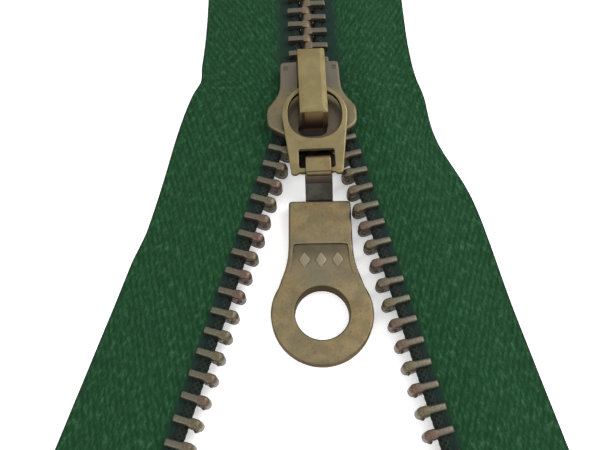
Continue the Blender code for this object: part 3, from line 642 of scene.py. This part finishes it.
PULL_BRASS = antique_brass(
    "pull_brass", (0.265, 0.206, 0.11), (0.19, 0.16, 0.092), (0.07, 0.043, 0.027), 0.44, 0.4, side_shade=0.85,
    edge=(0.3, 0.26, 0.17), rub=0.28,
    tints=[
        (TAB_NECK, (0.16, 0.15, 0.112)),
        # painted shade on the wall of the ring's hole
        (TAB_HOLE_WALL, (0.045, 0.033, 0.02)),
        (fading(TAB_BAND, Y, -21.4, -25.6, 0.55, 0.1), (0.045, 0.036, 0.026)),
    ],
)
LOOP_BRASS = antique_brass(
    "loop_brass", (0.28, 0.228, 0.118), (0.23, 0.187, 0.094), (0.075, 0.052, 0.034), 0.34, 0.25,
    # painted shade along the loop's crease
    tints=[(LOOP_CREASE, (0.07, 0.06, 0.025))],
)
LAP_BRASS = antique_brass(
    "lap_brass", (0.2, 0.16, 0.1), (0.16, 0.125, 0.08), (0.07, 0.05, 0.038), 0.4, 0.4,
    tints=[(fading(WHOLE_LAP, Y, -11.9, -12.65, 0.1, 1.0), (0.065, 0.048, 0.042))],
)
MARK_BRASS = antique_brass(
    "mark_brass", (0.3, 0.25, 0.17), (0.25, 0.205, 0.14), (0.08, 0.06, 0.045), 0.4, 0.2
)
STRAP_METAL = antique_brass(
    "strap_metal", (0.092, 0.09, 0.08), (0.056, 0.053, 0.046), (0.024, 0.02, 0.018), 0.4, 0.4
)
TOOTH_BRASS = tooth_brass()
STEEL = spring_steel()
TAPE = tape_cloth()
CORD = cord_cloth()


# ---- teeth and stops ----

HEAD_REACH = 0.62
HEAD_HALF_THICK = 0.6
LEG_HALF_THICK = 0.42
HEAD_CORNER = 0.78
HEAD_CENTRE, HEAD_ROUND = 0.05, 0.72
HEAD_LEAST = 0.2
FOOT_CORNER = 0.3
NIB_SIZE, NIB_SINK = (0.36, 0.3, 0.5), 0.03
NECK_POINTS = (0.36, 0.5, 0.58, 0.66, 0.74, 0.84, 0.94, 1.04)
OPEN_RIM, CLOSED_RIM = 0.26, 0.12
# Where along X the head starts to narrow into the leg and over what length, and the same for its colour.
OPEN_NECK, CLOSED_NECK = (0.58, 0.5), (0.5, 0.22)
OPEN_FADE, CLOSED_FADE = (0.35, 1.1), (0.5, 0.2)
TOOTH_WOBBLE = 1.6


def tooth_outline():
    """In XZ about the chain's middle: the rounded head, two legs with turned-in feet, and the grip."""
    top, grip = TOOTH_HALF_HEIGHT, GRIP_HALF_HEIGHT
    head = arc((-HEAD_REACH + HEAD_CORNER, top - HEAD_CORNER), HEAD_CORNER, 180, 90, 7)
    head += [(x, top) for x in NECK_POINTS]
    foot = arc((LEG_END - FOOT_CORNER, top - FOOT_CORNER), FOOT_CORNER, 90, 0, 4)
    toe = [(LEG_END, 0.5), (LEG_END - 0.12, 0.42), (LEG_END - 0.36, 0.42), (LEG_END - 0.52, 0.62)]
    bend = (GRIP_START + FOOT_CORNER, grip - FOOT_CORNER)
    root = [(bend[0], grip)] + arc(bend, FOOT_CORNER, 90, 180, 4)[1:]
    upper = head + foot + toe + root
    return upper + [(x, -z) for x, z in reversed(upper)]


def tooth_mesh(closed=False):
    """A right-hand tooth about the chain's middle, in millimetres. A closed head fills the half pitch."""
    rim = CLOSED_RIM if closed else OPEN_RIM
    neck, neck_length = CLOSED_NECK if closed else OPEN_NECK
    fade, fade_length = CLOSED_FADE if closed else OPEN_FADE
    mesh = rounded(tooth_outline(), -HEAD_HALF_THICK, HEAD_HALF_THICK, rim, "y", 3)
    mesh.transform(Matrix.Scale(1 / MM, 4))
    dome = bmesh.new()
    bmesh.ops.create_uvsphere(dome, u_segments=14, v_segments=10, radius=1)
    nib = mesh_of(dome)
    face = HEAD_HALF_THICK - NIB_SINK
    nib.transform(Matrix.Translation((0, -face, 0)) @ Matrix.Diagonal((*NIB_SIZE, 1)))
    dimple = nib.copy()
    dimple.transform(Matrix.Translation((0, 2 * face, 0)))
    mesh = boolean(mesh, nib, "UNION")
    mesh = boolean(mesh, dimple)
    points = points_of(mesh)
    share = smoothstep((points[:, 0] - neck) / neck_length)
    points[:, 1] *= 1 + (LEG_HALF_THICK / HEAD_HALF_THICK - 1) * share
    if closed:
        points[:, 1] *= 1 + (PITCH / 4 / HEAD_HALF_THICK - 1) * (1 - share)
    else:
        beyond = np.clip((HEAD_CENTRE - points[:, 0]) / HEAD_ROUND, 0, 1)
        points[:, 1] *= np.sqrt(np.maximum(HEAD_LEAST, 1 - beyond**2))
    mesh.vertices.foreach_set("co", points.astype(np.float32).ravel())
    set_attribute(mesh, "tip", 1 - smoothstep((points[:, 0] - fade) / fade_length))
    set_attribute(mesh, "closed", [float(closed)] * len(points))
    return mesh


def mirrored(mesh):
    other = mesh.copy()
    other.transform(Matrix.Scale(-1, 4, (1, 0, 0)))
    other.flip_normals()
    return other


right_tooth, right_closed_tooth = tooth_mesh(), tooth_mesh(closed=True)
OPEN_TOOTH = {"left": mirrored(right_tooth), "right": right_tooth}
CLOSED_TOOTH = {"left": mirrored(right_closed_tooth), "right": right_closed_tooth}
dice = random.Random(5)


def teeth_mesh(tooth, side, places):
    """Copies of a tooth at these places of the straight chain, as one mesh."""
    shape = bmesh.new()
    tones = []
    for y in places:
        copy = tooth.copy()
        wobble = Matrix.Rotation(math.radians(dice.uniform(-TOOTH_WOBBLE, TOOTH_WOBBLE)), 4, "Z")
        copy.transform(tooth_matrix(side, y) @ wobble)
        tones += [dice.random()] * len(copy.vertices)
        shape.from_mesh(copy)
        bpy.data.meshes.remove(copy)
    mesh = mesh_of(shape)
    set_attribute(mesh, "tone", tones)
    return mesh


def place_of(side, number):
    """Tooth 0 is the last closed one, and the numbers count towards the open end."""
    return LAST_CLOSED_TOOTH[side] - number * PITCH


def make_teeth():
    for side in SIDES:
        for k in range(CLOSED_TEETH):
            name = f"{side}_closed_tooth_{k + 1}"
            mesh = teeth_mesh(CLOSED_TOOTH[side], side, [place_of(side, -k)])
            metal_piece(name + "_brass", mesh, TOOTH_BRASS, "closed_chain", [name])
        for k in range(BEND_TEETH):
            name = f"{side}_bend_tooth_{k + 1}"
            mesh = teeth_mesh(OPEN_TOOTH[side], side, [place_of(side, k + 1)])
            metal_piece(name + "_brass", mesh, TOOTH_BRASS, f"{side}_bend_{k + 1}", [name])
        leg, first = side + "_leg", BEND_TEETH + 1
        last = first + OPEN_TEETH[side]
        mesh = teeth_mesh(OPEN_TOOTH[side], side, [place_of(side, k) for k in range(first, last)])
        metal_piece(side + "_open_teeth", mesh, TOOTH_BRASS, leg, [side + "_open_row"])
        mesh = teeth_mesh(OPEN_TOOTH[side], side, [place_of(side, k) for k in range(last, last + END_TEETH)])
        name, bodies, bend = side + "_end_teeth", (leg, leg + "_end"), blend_line(side, SLIDER_TRAVEL)
        metal_piece(name, mesh, TOOTH_BRASS, bodies, [side + "_end_row"], bend=bend)


STOP_CORNER, STOP_HALF_LENGTH, TOP_STOP_AT = 0.3, 1.2, -76.5


def make_stops():
    """The clip across both cords at the bottom, and the crimped clip at the top of each side."""
    low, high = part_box("bottom_stop")
    half_x, half_z = high.x / MM, (high.z - low.z) / 2 / MM
    grip = GRIP_HALF_HEIGHT + 0.02
    inner = GRIP_START - 0.1
    quarter = [(inner, 0), (inner, grip), (half_x - 0.25, grip), (half_x, grip + 0.12)]
    quarter += arc((half_x - STOP_CORNER, half_z - STOP_CORNER), STOP_CORNER, 0, 90, 4)
    upper = quarter + [(-x, z) for x, z in reversed(quarter)]
    outline = upper[1:-1]
    lower = [(x, -z) for x, z in reversed(outline)]
    section = [(x, CHAIN_MID + z) for x, z in outline + lower]
    mesh = rounded(section, low.y / MM, high.y / MM, 0.16, "y", 3)
    stop_look(mesh)
    metal_piece("bottom_stop_clip", mesh, TOOTH_BRASS, "closed_chain", ["bottom_stop"])
    for side in SIDES:
        top, inner = TOOTH_HALF_HEIGHT, GRIP_START - 0.6
        upper = arc((inner + 0.4, top - 0.4), 0.4, 180, 90, 5)
        upper += arc((LEG_END - STOP_CORNER, top - STOP_CORNER), STOP_CORNER, 90, 0, 4)
        upper += [(LEG_END, 0.6), (LEG_END - 0.3, 0.44), (LEG_END - 0.6, grip), (GRIP_START, grip)]
        section = upper + [(x, -z) for x, z in reversed(upper)]
        mesh = rounded(section, -STOP_HALF_LENGTH, STOP_HALF_LENGTH, 0.18, "y", 3)
        if side == "left":
            mesh = mirrored(mesh)
        mesh.transform(Matrix.Scale(1 / MM, 4))
        mesh.transform(tooth_matrix(side, TOP_STOP_AT))
        stop_look(mesh)
        name = side + "_top_stop"
        metal_piece(name + "_clip", mesh, TOOTH_BRASS, side + "_leg_end", [name])


def stop_look(mesh):
    for name, value in (("tip", 0.1), ("tone", 0.4), ("closed", 0.0)):
        set_attribute(mesh, name, [value] * len(mesh.vertices))


make_teeth()
make_stops()


# ---- tapes and cords ----

# How far the outer edge stands out in places: each wave has a height, a middle and a width along the tape.
WAVES = {
    "left": [(1.7, -2.5, 13.5)],
    "right": [(-0.85, -6.5, 6.0), (0.35, 6.0, 5.0), (0.45, -21.0, 8.0)],
}
# The open part lies flatter and reaches further out: by how much, from where on and over what length.
OPEN_WIDER = {"left": (0.4, -22.0, 6.0), "right": (0.5, -8.0, 10.0)}
# Faint ripples, each with a height, a length, a slant and a phase. They fade towards the chain and the ends.
RIPPLES = ((0.16, 4.1, 0.35, 0.0), (0.1, 2.3, -0.6, 1.1))
RIPPLE_FROM, RIPPLE_FADE, RIPPLE_SPAN, RIPPLE_LEAST = 5.0, 4.0, 17.0, 0.35
TAPE_STEP, TAPE_COLUMNS = 0.5, 25
TAPE_WIDTH = TAPE_OUTER - TAPE_INNER
# The selvedge is a low bead just inside the edge, and the cloth thins out beyond it.
BEAD_SHARE, BEAD_FROM_EDGE, BEAD_WIDTH, EDGE_THIN, EDGE_ROUND = 0.35, 0.45, 0.3, 0.75, 0.25
# The painted shadow on the cloth beside the teeth: its width in the open part, and what the closed part adds.
SHADOW_OPEN, SHADOW_CLOSED = 0.8, 2.3


def tape_middle(side, u, v):
    """The middle of the tape at u from the chain's centreline and v along it, in millimetres."""
    fall = smoothstep((u - TAPE_FLAT_TO) / (TAPE_OUTER - TAPE_FLAT_TO))
    reach, start, length = OPEN_WIDER[side]
    outward = reach * smoothstep((start - v) / length)
    for rise, at, width in WAVES[side]:
        outward = outward + rise * np.exp(-(((v - at) / width) ** 2))
    outward *= np.clip((u - TAPE_INNER) / TAPE_WIDTH, 0, 1) ** 2
    ripple = sum(rise * np.sin(v / length + slant * u + phase) for rise, length, slant, phase in RIPPLES)
    near = RIPPLE_LEAST + (1 - RIPPLE_LEAST) * np.exp(-((v / RIPPLE_SPAN) ** 2))
    ripple *= smoothstep((u - RIPPLE_FROM) / RIPPLE_FADE) * near
    height = CHAIN_MID - TAPE_DROOP * fall + np.abs(ripple) * (1 - 0.3 * fall)
    return np.stack([SIGN[side] * (u + outward), v, height], -1)


def cloth_piece(name, mesh, material, nodes):
    shade(mesh, 60)
    obj = painted(name, mesh, material)
    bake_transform(obj)
    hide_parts(*nodes)
    return obj


def make_tape(side, part, v_high, v_low, bodies, shift, nodes):
    """A stretch of tape: a grid with a top, a bottom and a rounded selvedge, marked for the weave."""
    across = TAPE_INNER + TAPE_WIDTH * np.linspace(0, 1, TAPE_COLUMNS)
    along = np.linspace(v_high, v_low, int(abs(v_high - v_low) / TAPE_STEP) + 1)
    u, v = np.meshgrid(across, along)
    middle = tape_middle(side, u, v)
    bead = 1 + BEAD_SHARE * np.exp(-(((u - TAPE_OUTER + BEAD_FROM_EDGE) / BEAD_WIDTH) ** 2))
    thin = 1 - EDGE_THIN * smoothstep((u - TAPE_OUTER + EDGE_ROUND) / EDGE_ROUND)
    half = TAPE_HALF_THICK * bead * thin
    top, bottom = middle.copy(), middle.copy()
    top[..., 2] += half
    bottom[..., 2] = np.maximum(middle[..., 2] - half, 0.03)
    rows, columns = u.shape
    ring_points = np.concatenate([top, bottom[:, ::-1]], axis=1).reshape(-1, 3)
    ring_u = np.concatenate([u, u[:, ::-1]], axis=1).ravel()
    ring_v = np.concatenate([v, v[:, ::-1]], axis=1).ravel()
    placed = bent(side, ring_points) * MM
    count = 2 * columns
    faces = []
    for r in range(rows - 1):
        for c in range(count):
            n = (c + 1) % count
            faces.append((r * count + c, r * count + n, (r + 1) * count + n, (r + 1) * count + c))
    for first in (0, (rows - 1) * count):
        last = first + count - 1
        faces += [(first + c, first + c + 1, last - 1 - c, last - c) for c in range(columns - 1)]
    shape = bmesh.new()
    corners = [shape.verts.new(p) for p in placed]
    for face in faces:
        shape.faces.new([corners[i] for i in face])
    mesh = mesh_of(shape)
    set_attribute(mesh, "cloth", np.stack([ring_u, ring_v, np.zeros(len(ring_u))], 1), "FLOAT_VECTOR")
    reach = SHADOW_OPEN + SHADOW_CLOSED * smoothstep((ring_v + 4.0) / 10.0)
    set_attribute(mesh, "shadow_edge", np.clip(1 - (ring_u - LEG_END + 0.2) / reach, 0, 1))
    set_attribute(mesh, "selvedge", smoothstep((ring_u - TAPE_OUTER + BEAD_FROM_EDGE) / 0.4))
    tape = cloth_piece(f"{side}_tape_{part}", mesh, TAPE, nodes)


CORD_STEP, CORD_SWELL = 0.22, 0.035


def make_cord(side, part, v_high, v_low, bodies, shift, nodes):
    """The braid inside the tape's edge: an oval tube with a faint ripple, between the teeth's legs."""
    inner, outer = GRIP_START + 0.08, CORD_OUTER + 0.1
    centre, half_x, half_z = (inner + outer) / 2, (outer - inner) / 2, GRIP_HALF_HEIGHT - 0.04
    along = np.linspace(v_high, v_low, int(abs(v_high - v_low) / CORD_STEP) + 1)
    around = np.linspace(0, math.tau, 17)[:-1]
    v, turn = np.meshgrid(along, around, indexing="ij")
    swell = 1 + CORD_SWELL * np.sin(v / BRAID_LENGTH * math.tau + 2 * turn)
    x = SIGN[side] * (centre + half_x * np.cos(turn) * swell)
    z = CHAIN_MID + half_z * np.sin(turn) * swell
    points = np.stack([x, v, z], -1)
    placed = bent(side, points.reshape(-1, 3)).reshape(points.shape)
    mesh = loft([[tuple(p) for p in ring] for ring in placed])
    girth = turn * (half_x + half_z) / 2
    set_attribute(mesh, "cloth", np.stack([girth, v, np.zeros_like(v)], -1).reshape(-1, 3), "FLOAT_VECTOR")
    cloth_piece(f"{side}_cord_{part}", mesh, CORD, nodes)


for side in SIDES:
    upper = ("upper", TAPE_ENDS[0], TAPE_SPLIT, ("closed_chain", side + "_leg"), 0)
    lower = ("lower", TAPE_SPLIT, TAPE_ENDS[1], (side + "_leg", side + "_leg_end"), SLIDER_TRAVEL)
    make_tape(side, *upper, [side + "_tape", side + "_open_tape"])
    make_tape(side, *lower, [side + "_end_tape"])
    make_cord(side, *upper, [side + "_cord", side + "_bend_cord"])
    make_cord(side, *lower, [side + "_end_cord"])


# ---- slider ----

PLATE_HALF = [
    (0, -7.0), (1.7, -6.75), (3.3, -6.1), (4.6, -5.35), (5.7, -4.65), (6.08, -4.1),
    (6.2, -3.4), (6.2, -1.9), (6.05, -1.35), (5.6, -0.75), (4.9, 0.25), (4.45, 1.2),
    (4.25, 2.4), (4.2, 5.2), (4.14, 6.32), (3.0, 6.32), (0, 6.3),
]
CHANNEL_HALF = [
    (0, 6.8), (3.1, 6.8), (3.1, 5.0), (3.2, 2.2), (3.6, 0.6), (4.2, -0.9), (4.8, -2.1), (5.3, -3.1),
    (7.0, -3.1), (7.0, -8.0), (0, -8.0),
]
# The tongue is a lip of the lower plate that reaches under the bail's window, where it is painted dark as
# painted shade.
TONGUE = [(-2.5, -6.0), (-2.35, -9.0), (-1.9, -9.5), (2.6, -9.5), (3.05, -9.0), (3.2, -6.0)]
TONGUE_TOP = 0.95
WEDGE_HALF = [(0, -6.8), (0.9, -6.5), (1.3, -5.9), (1.0, -4.9), (0.45, -3.6), (0, -1.9)]
PLATE_TOP = 5.1
PLATE_THICK = 1.0
PLATE_ROUND = 0.34
SLOT_LOW, SLOT_HIGH = 1.95, 3.15
CAP_TOP, CAP_SHIFT, CAP_WALL = 8.5, 0.2, 0.6
CAP_FOOT_LEFT, CAP_FOOT_RIGHT, CAP_SHOULDER, CAP_FLAT = -2.15, 1.9, 1.86, 1.18
FRONT_POST_HALF, FRONT_POST_TOP = 1.3, 7.95
REAR_POST, REAR_POST_TOP = (-0.9, 0.9, 4.2, 4.95), 7.7
POCKET_HALF = [(0, -6.36), (1.1, -6.3), (1.66, -6.05), (1.95, -5.6), (2.02, -4.72), (0, -4.72)]
PAWL_SLOT = (0.8, 1.45, 2.95, 4.0)
MARK_DEPTH = 0.05
BAIL_TILT, BAIL_SHIFT, BAIL_HALF_THICK = 9.34, 0.35, 0.4


def make_slider_body():
    """Two trays joined by the wedge, with the cap's posts, the nose pocket, the pawl's slot and a tongue."""
    outline = both_sides(PLATE_HALF)
    channel = both_sides(CHANNEL_HALF)
    upper = rounded(outline, SLOT_HIGH, PLATE_TOP, PLATE_ROUND, ease=2)
    upper = boolean(upper, prism(channel, SLOT_HIGH - 1, PLATE_TOP - PLATE_THICK))
    lower = rounded(outline, 0, SLOT_LOW, PLATE_ROUND - 0.06, ease=2)
    lower = boolean(lower, prism(channel, PLATE_THICK, SLOT_LOW + 1))
    tongue = rounded(TONGUE, 0, TONGUE_TOP, 0.2, ease=1)
    lower = boolean(lower, tongue, "UNION")
    wedge = prism(eased(both_sides(WEDGE_HALF), 1), PLATE_THICK / 2, PLATE_TOP - PLATE_THICK / 2)
    body = boolean(boolean(upper, lower, "UNION"), wedge, "UNION")
    root = PLATE_TOP - 0.5
    top = FRONT_POST_TOP
    front = [(-4.72, root), (-4.72, PLATE_TOP + 0.4), (-4.2, top), (-3.2, top), (-3.2, root)]
    front = prism(front, CAP_SHIFT - FRONT_POST_HALF, CAP_SHIFT + FRONT_POST_HALF, "x")
    body = boolean(body, front, "UNION")
    body = boolean(body, rounded(rectangle(*REAR_POST), root, REAR_POST_TOP, 0.12, steps=2), "UNION")
    pocket = rounded(both_sides(POCKET_HALF), PLATE_TOP - 0.6, PLATE_TOP + 1, 0.1, steps=2, ease=1)
    body = boolean(body, pocket)
    body = boolean(body, prism(rectangle(*PAWL_SLOT), PLATE_TOP - 2, PLATE_TOP + 1))
    for x in MARK_PLACES:
        mark = soft_rectangle(x - MARK_HALF, x + MARK_HALF, MARK_LOW, MARK_HIGH, 0.08, 2)
        body = boolean(body, prism(mark, PLATE_TOP - MARK_DEPTH, PLATE_TOP + 1))
    metal_piece("slider_shell", body, PLATE_BRASS, "slider", ["slider_body"])


def make_cap():
    """The hollow cap: chamfered along its top, closed behind, open in front and notched for the bail."""
    top, low = CAP_TOP, PLATE_TOP + 0.03
    side = [(-4.92, low), (-4.8, low + 1.1)] + arc((-3.55, top - 0.9), 0.9, 160, 90, 5)
    side += arc((5.4, top - 0.7), 0.7, 90, 0, 6) + [(6.1, low)]
    right = [(CAP_FOOT_RIGHT, low - 1), (CAP_SHOULDER, top - 0.55), (CAP_FLAT, top + 0.001)]
    left = [(-CAP_FLAT - 0.2, top + 0.001), (-CAP_SHOULDER, top - 0.4), (CAP_FOOT_LEFT, low - 1)]
    cross = right + left
    cap = boolean(prism(side, -3, 3, "x"), prism(cross, -6, 7, "y"), "INTERSECT")
    plan = soft_rectangle(-2.4, 2.08, -8.0, 6.1, 0.62)
    cap = boolean(cap, prism(plan, low - 1, top + 1), "INTERSECT")
    angle = math.radians(20)
    cap = modified(cap, "BEVEL", width=0.16 * MM, segments=3, limit_method="ANGLE", angle_limit=angle)
    inner, ceiling = CAP_SHOULDER - CAP_WALL, top - 0.42
    room = [(0, low - 1), (inner, low - 1), (inner, top - 0.58), (inner - 0.2, ceiling), (0, ceiling)]
    cap = boolean(cap, prism(both_sides(room), -6.5, 5.6, "y"))
    notch = soft_rectangle(-0.62, 1.62, low - 2, 7.68, 0.35)
    cap = boolean(cap, prism(notch, -3, 3, "x"))
    cap.transform(Matrix.Translation((CAP_SHIFT * MM, 0, 0)))
    metal_piece("slider_cap_shell", cap, CAP_BRASS, "slider", ["slider_cap"])


def squared_half_circle(half_width, half_height, middle, power, steps=40):
    """The right half of an oval about (0, middle), from its top down, squarer the smaller the power is."""
    points = [(0, middle + half_height)]
    for i in range(1, steps):
        across, along = math.sin(math.pi * i / steps), math.cos(math.pi * i / steps)
        rise = math.copysign(abs(along) ** power, along)
        points.append((half_width * across**power, middle + half_height * rise))
    return points + [(0, middle - half_height)]


def make_bail():
    """The ring that lies round the cap, with its bar in the cap's notch and a window for the strap."""
    pivot = Vector(joints["bail_flip"]["pos_m"])
    matrix = Matrix.Translation(pivot) @ Matrix.Rotation(math.radians(BAIL_TILT), 4, "X")
    ring = arc((0, -4.0), 4.45, 66, -6, 14)
    foot = [(3.5, -12.1), (3.42, -12.42), (3.2, -12.58), (2.8, -12.58), (2.56, -12.48), (2.4, -12.32)]
    outline = both_sides([(0, 0.36), (1.55, 0.36)] + ring + foot + [(0, -12.32)])
    low, high = -BAIL_HALF_THICK, BAIL_HALF_THICK
    bail = rounded(outline, low, high, 0.2)
    bail = boolean(bail, flared(both_sides(squared_half_circle(3.65, 3.5, -3.95, 0.86)), low, high, 0.14))
    window = soft_rectangle(-2.4, 2.4, -11.68, -9.05, 0.28)
    bail = boolean(bail, flared(window, low, high, 0.1, steps=3))
    bail.transform(Matrix.Translation((BAIL_SHIFT * MM, 0, 0)))
    metal_piece("bail_ring", bail, SLIDER_BRASS, "bail_loop", ["bail"], matrix)


make_slider_body()
make_cap()
make_bail()


# ---- pull ----

LINK_HALF = 1.85
LOOP_CROWN, LOOP_RADIUS, LOOP_ROOM, BAR_ROOM = (1.12, 0.34), 0.8, 0.5, 0.52
CURL_RADIUS, CURL_ROOM = 0.6, 0.36
TAB_TOP, TAB_THICK, TAB_HALF = -14.6, 2.24, 4.15
RING_AT, RING_RADIUS, HOLE_RADIUS = -30.1, 6.45, 3.42
BAND_TOP, BAND_LOW, BAND_DEPTH = -5.75, -10.55, 0.2
LOZENGE_PITCH, LOZENGE_AT, LOZENGE_HALF = 2.15, -8.0, (0.78, 1.2)
THROUGH = 3


def capsule(start, end, start_radius, end_radius, steps=14):
    """The outline round two circles and the straight sides between them."""
    heading = math.degrees(math.atan2(end[1] - start[1], end[0] - start[0]))
    far = arc(end, end_radius, heading - 90, heading + 90, steps)
    return far + arc(start, start_radius, heading + 90, heading + 270, steps)


def bar_room(radius):
    """A cutter for the room that the bail's bar has in the loop."""
    return prism(capsule(LOOP_CROWN, (0, 0), radius, radius), -THROUGH, THROUGH, "x")


def make_link():
    """The folded strap: a brass-coloured loop round the bail's bar, its lap, and the dark strap below."""
    bar = Vector(joints["link_swing"]["pos_m"]) / MM
    pin = Vector(joints["tab_swing"]["pos_m"]) / MM
    eye = (pin.y - bar.y, pin.z - bar.z)
    reach = math.hypot(*eye)
    along = (eye[0] / reach, eye[1] / reach)
    matrix = Matrix.Translation(bar * MM)
    loop_half, half = LINK_HALF - 0.16, LINK_HALF - 0.02
    loop = capsule(LOOP_CROWN, (0, 0), LOOP_RADIUS, LOOP_RADIUS)
    loop = rounded(loop, -loop_half, loop_half, 0.16, "x", 3)
    loop = boolean(loop, bar_room(LOOP_ROOM))
    metal_piece("link_loop", loop, LOOP_BRASS, "link", [], matrix)
    lap_start, crease, start = ((along[0] * d, along[1] * d) for d in (0.62, 1.5, 0.9))
    lap = rounded(capsule(lap_start, crease, 0.5, 0.3), -half + 0.03, half - 0.03, 0.14, "x", 3)
    lap = boolean(lap, bar_room(BAR_ROOM))
    metal_piece("link_lap", lap, LAP_BRASS, "link", [], matrix)
    strap = rounded(capsule(start, eye, 0.24, 0.22), -half, half, 0.07, "x", 3)
    curl = rounded(arc(eye, CURL_RADIUS, 0, 345, 31), -half + 0.02, half - 0.02, 0.08, "x", 3)
    strap = boolean(strap, curl, "UNION")
    strap = boolean(strap, prism(arc(eye, CURL_ROOM, 0, 345, 23), -THROUGH, THROUGH, "x"))
    strap = boolean(strap, bar_room(BAR_ROOM))
    metal_piece("link_strap", strap, STRAP_METAL, "link", ["pull_link"], matrix)


def tab_outline(pin_y):
    top, ring = TAB_TOP - pin_y, RING_AT - pin_y
    corner = arc((TAB_HALF - 0.45, top - 0.45), 0.45, 90, 0, 5)
    neck = [(4.17, -3.0), (4.2, -6.2), (4.27, -7.3), (4.42, -8.3), (4.7, -9.4), (5.1, -10.5)]
    ring_side = arc((0, ring), RING_RADIUS, 32, -90, 34)
    return both_sides([(0, top)] + corner + neck + ring_side[:-1] + [(0, ring - RING_RADIUS)])


def ramp_cutter(outline, surface, deep_end, flush_end):
    """A cutter for a shallow pocket, BAND_DEPTH deep at deep_end, whose floor rises to flush_end."""
    rings = []
    for x, y in outline:
        share = min(1.0, max(0.0, (y - flush_end) / (deep_end - flush_end)))
        rings.append((x, y, surface - BAND_DEPTH * share**0.7))
    return loft([rings, [(x, y, surface + 1) for x, y in outline]])


def make_tab():
    """The pull: a flat block and a ring in one, with the strap's slot, and raised lozenges in a sunk band."""
    pin = Vector(joints["tab_swing"]["pos_m"]) / MM
    axis = Vector(joints["tab_swing"]["axis"])
    yaw = math.atan2(-axis.y, -axis.x)
    matrix = Matrix.Translation(pin * MM) @ Matrix.Rotation(yaw, 4, "Z")
    low, high = -pin.z, TAB_THICK - pin.z
    ring = RING_AT - pin.y
    tab = rounded(tab_outline(pin.y), low, high, 0.32, steps=5)
    hole = arc((0, ring), HOLE_RADIUS, 0, 360 - 360 / 72, 71)
    tab = boolean(tab, flared(hole, low, high, 0.2))
    slot = rectangle(-0.72, 2.0, -0.86, 0.86)
    tab = boolean(tab, prism(slot, -LINK_HALF - 0.15, LINK_HALF + 0.15, "x"))
    half = [(0, BAND_TOP), (3.35, BAND_TOP), (3.6, BAND_TOP - 0.3), (3.66, -7.6), (3.8, -8.8)]
    half += [(4.2, BAND_LOW + 0.2)] + arc((0, ring), 5.0, 56, 90, 8)
    tab = boolean(tab, ramp_cutter(eased(both_sides(half), 1), high, BAND_TOP, BAND_LOW - 0.5))
    tab = boolean(tab, prism(arc((0, 0), 0.33, 0, 345, 23), -TAB_HALF + 0.55, TAB_HALF - 0.55, "x"))
    metal_piece("pull_tab_ring", tab, PULL_BRASS, "pull", ["pull_tab"], matrix)
    for column in (-1, 0, 1):
        x, y = column * LOZENGE_PITCH, LOZENGE_AT
        wide, tall = LOZENGE_HALF
        outer = [(x - wide, y), (x, y - tall), (x + wide, y), (x, y + tall)]
        mark = rounded(outer, high - 0.4, high, 0.14, steps=3)
        metal_piece(f"tab_lozenge_{column + 2}", mark, MARK_BRASS, "pull", [], matrix)


make_link()
make_tab()
for name in ("tab_pin", "lock_pawl", "pawl_spring"):
    node = frame["nodes"][name]
    node.data.materials.clear()
    node.data.materials.append(STEEL)


# ---- floor, light and camera ----


FLOOR_HALF, FLOOR_GLOW, FLOOR_GAP = 3.0, 0.3, 0.00005
EYE, LENS = (-2.5, -52.5, 79.9), 38.6
LOOKING, RIGHTWARDS = (0.003, 0.405, -0.914), (0.9992, -0.0365, -0.0133)


def make_stage():
    """A pale floor just under the zipper. Its faint glow lightens the shadows, as in the photograph."""
    mesh = bpy.data.meshes.new("floor")
    corners = rectangle(-FLOOR_HALF, FLOOR_HALF, -FLOOR_HALF, FLOOR_HALF)
    mesh.from_pydata([(x, y, 0) for x, y in corners], [], [(0, 1, 2, 3)])
    paint = Paint("floor_white", 0.9)
    paint.constants({"Emission Color": (1, 1, 1), "Emission Strength": FLOOR_GLOW})
    floor = painted("floor", mesh, paint.finish((0.93, 0.93, 0.93)))
    floor.location.z = -FLOOR_GAP


def make_light(name, place, size, power):
    lamp = bpy.data.lights.new(name, "AREA")
    lamp.size = size
    lamp.energy = power
    lamp.color = (1, 1, 1)
    obj = add(name, lamp)
    obj.location = place
    obj.rotation_euler = (-Vector(place)).to_track_quat("-Z", "Y").to_euler()


def make_world(strength):
    world = bpy.data.worlds.new("studio")
    bpy.context.scene.world = world
    world.use_nodes = True
    back = world.node_tree.nodes["Background"]
    back.inputs["Color"].default_value = (1, 1, 1, 1)
    back.inputs["Strength"].default_value = strength


def make_camera():
    """The eye 80 mm above the zipper and a little in front of it, looking down at the slider."""
    forward = Vector(LOOKING).normalized()
    right = Vector(RIGHTWARDS)
    right = (right - forward * right.dot(forward)).normalized()
    up = right.cross(forward)
    lens = bpy.data.cameras.new("camera")
    lens.lens = LENS
    lens.sensor_width = 36
    lens.clip_start = 0.002
    lens.clip_end = 20
    camera = add("camera", lens)
    turn = Matrix((right, up, -forward)).transposed()
    camera.matrix_world = Matrix.Translation(Vector(EYE) * MM) @ turn.to_4x4()
    bpy.context.scene.camera = camera


make_stage()
make_world(1.25)
make_light("key", (0.3, 0.1, 0.38), 0.3, 1.5)
make_light("fill", (-0.3, -0.2, 0.35), 0.4, 0.6)
make_light("side", (0.5, 0.2, 0.13), 0.2, 0.3)
make_camera()
bpy.context.scene.view_settings.view_transform = "Standard"
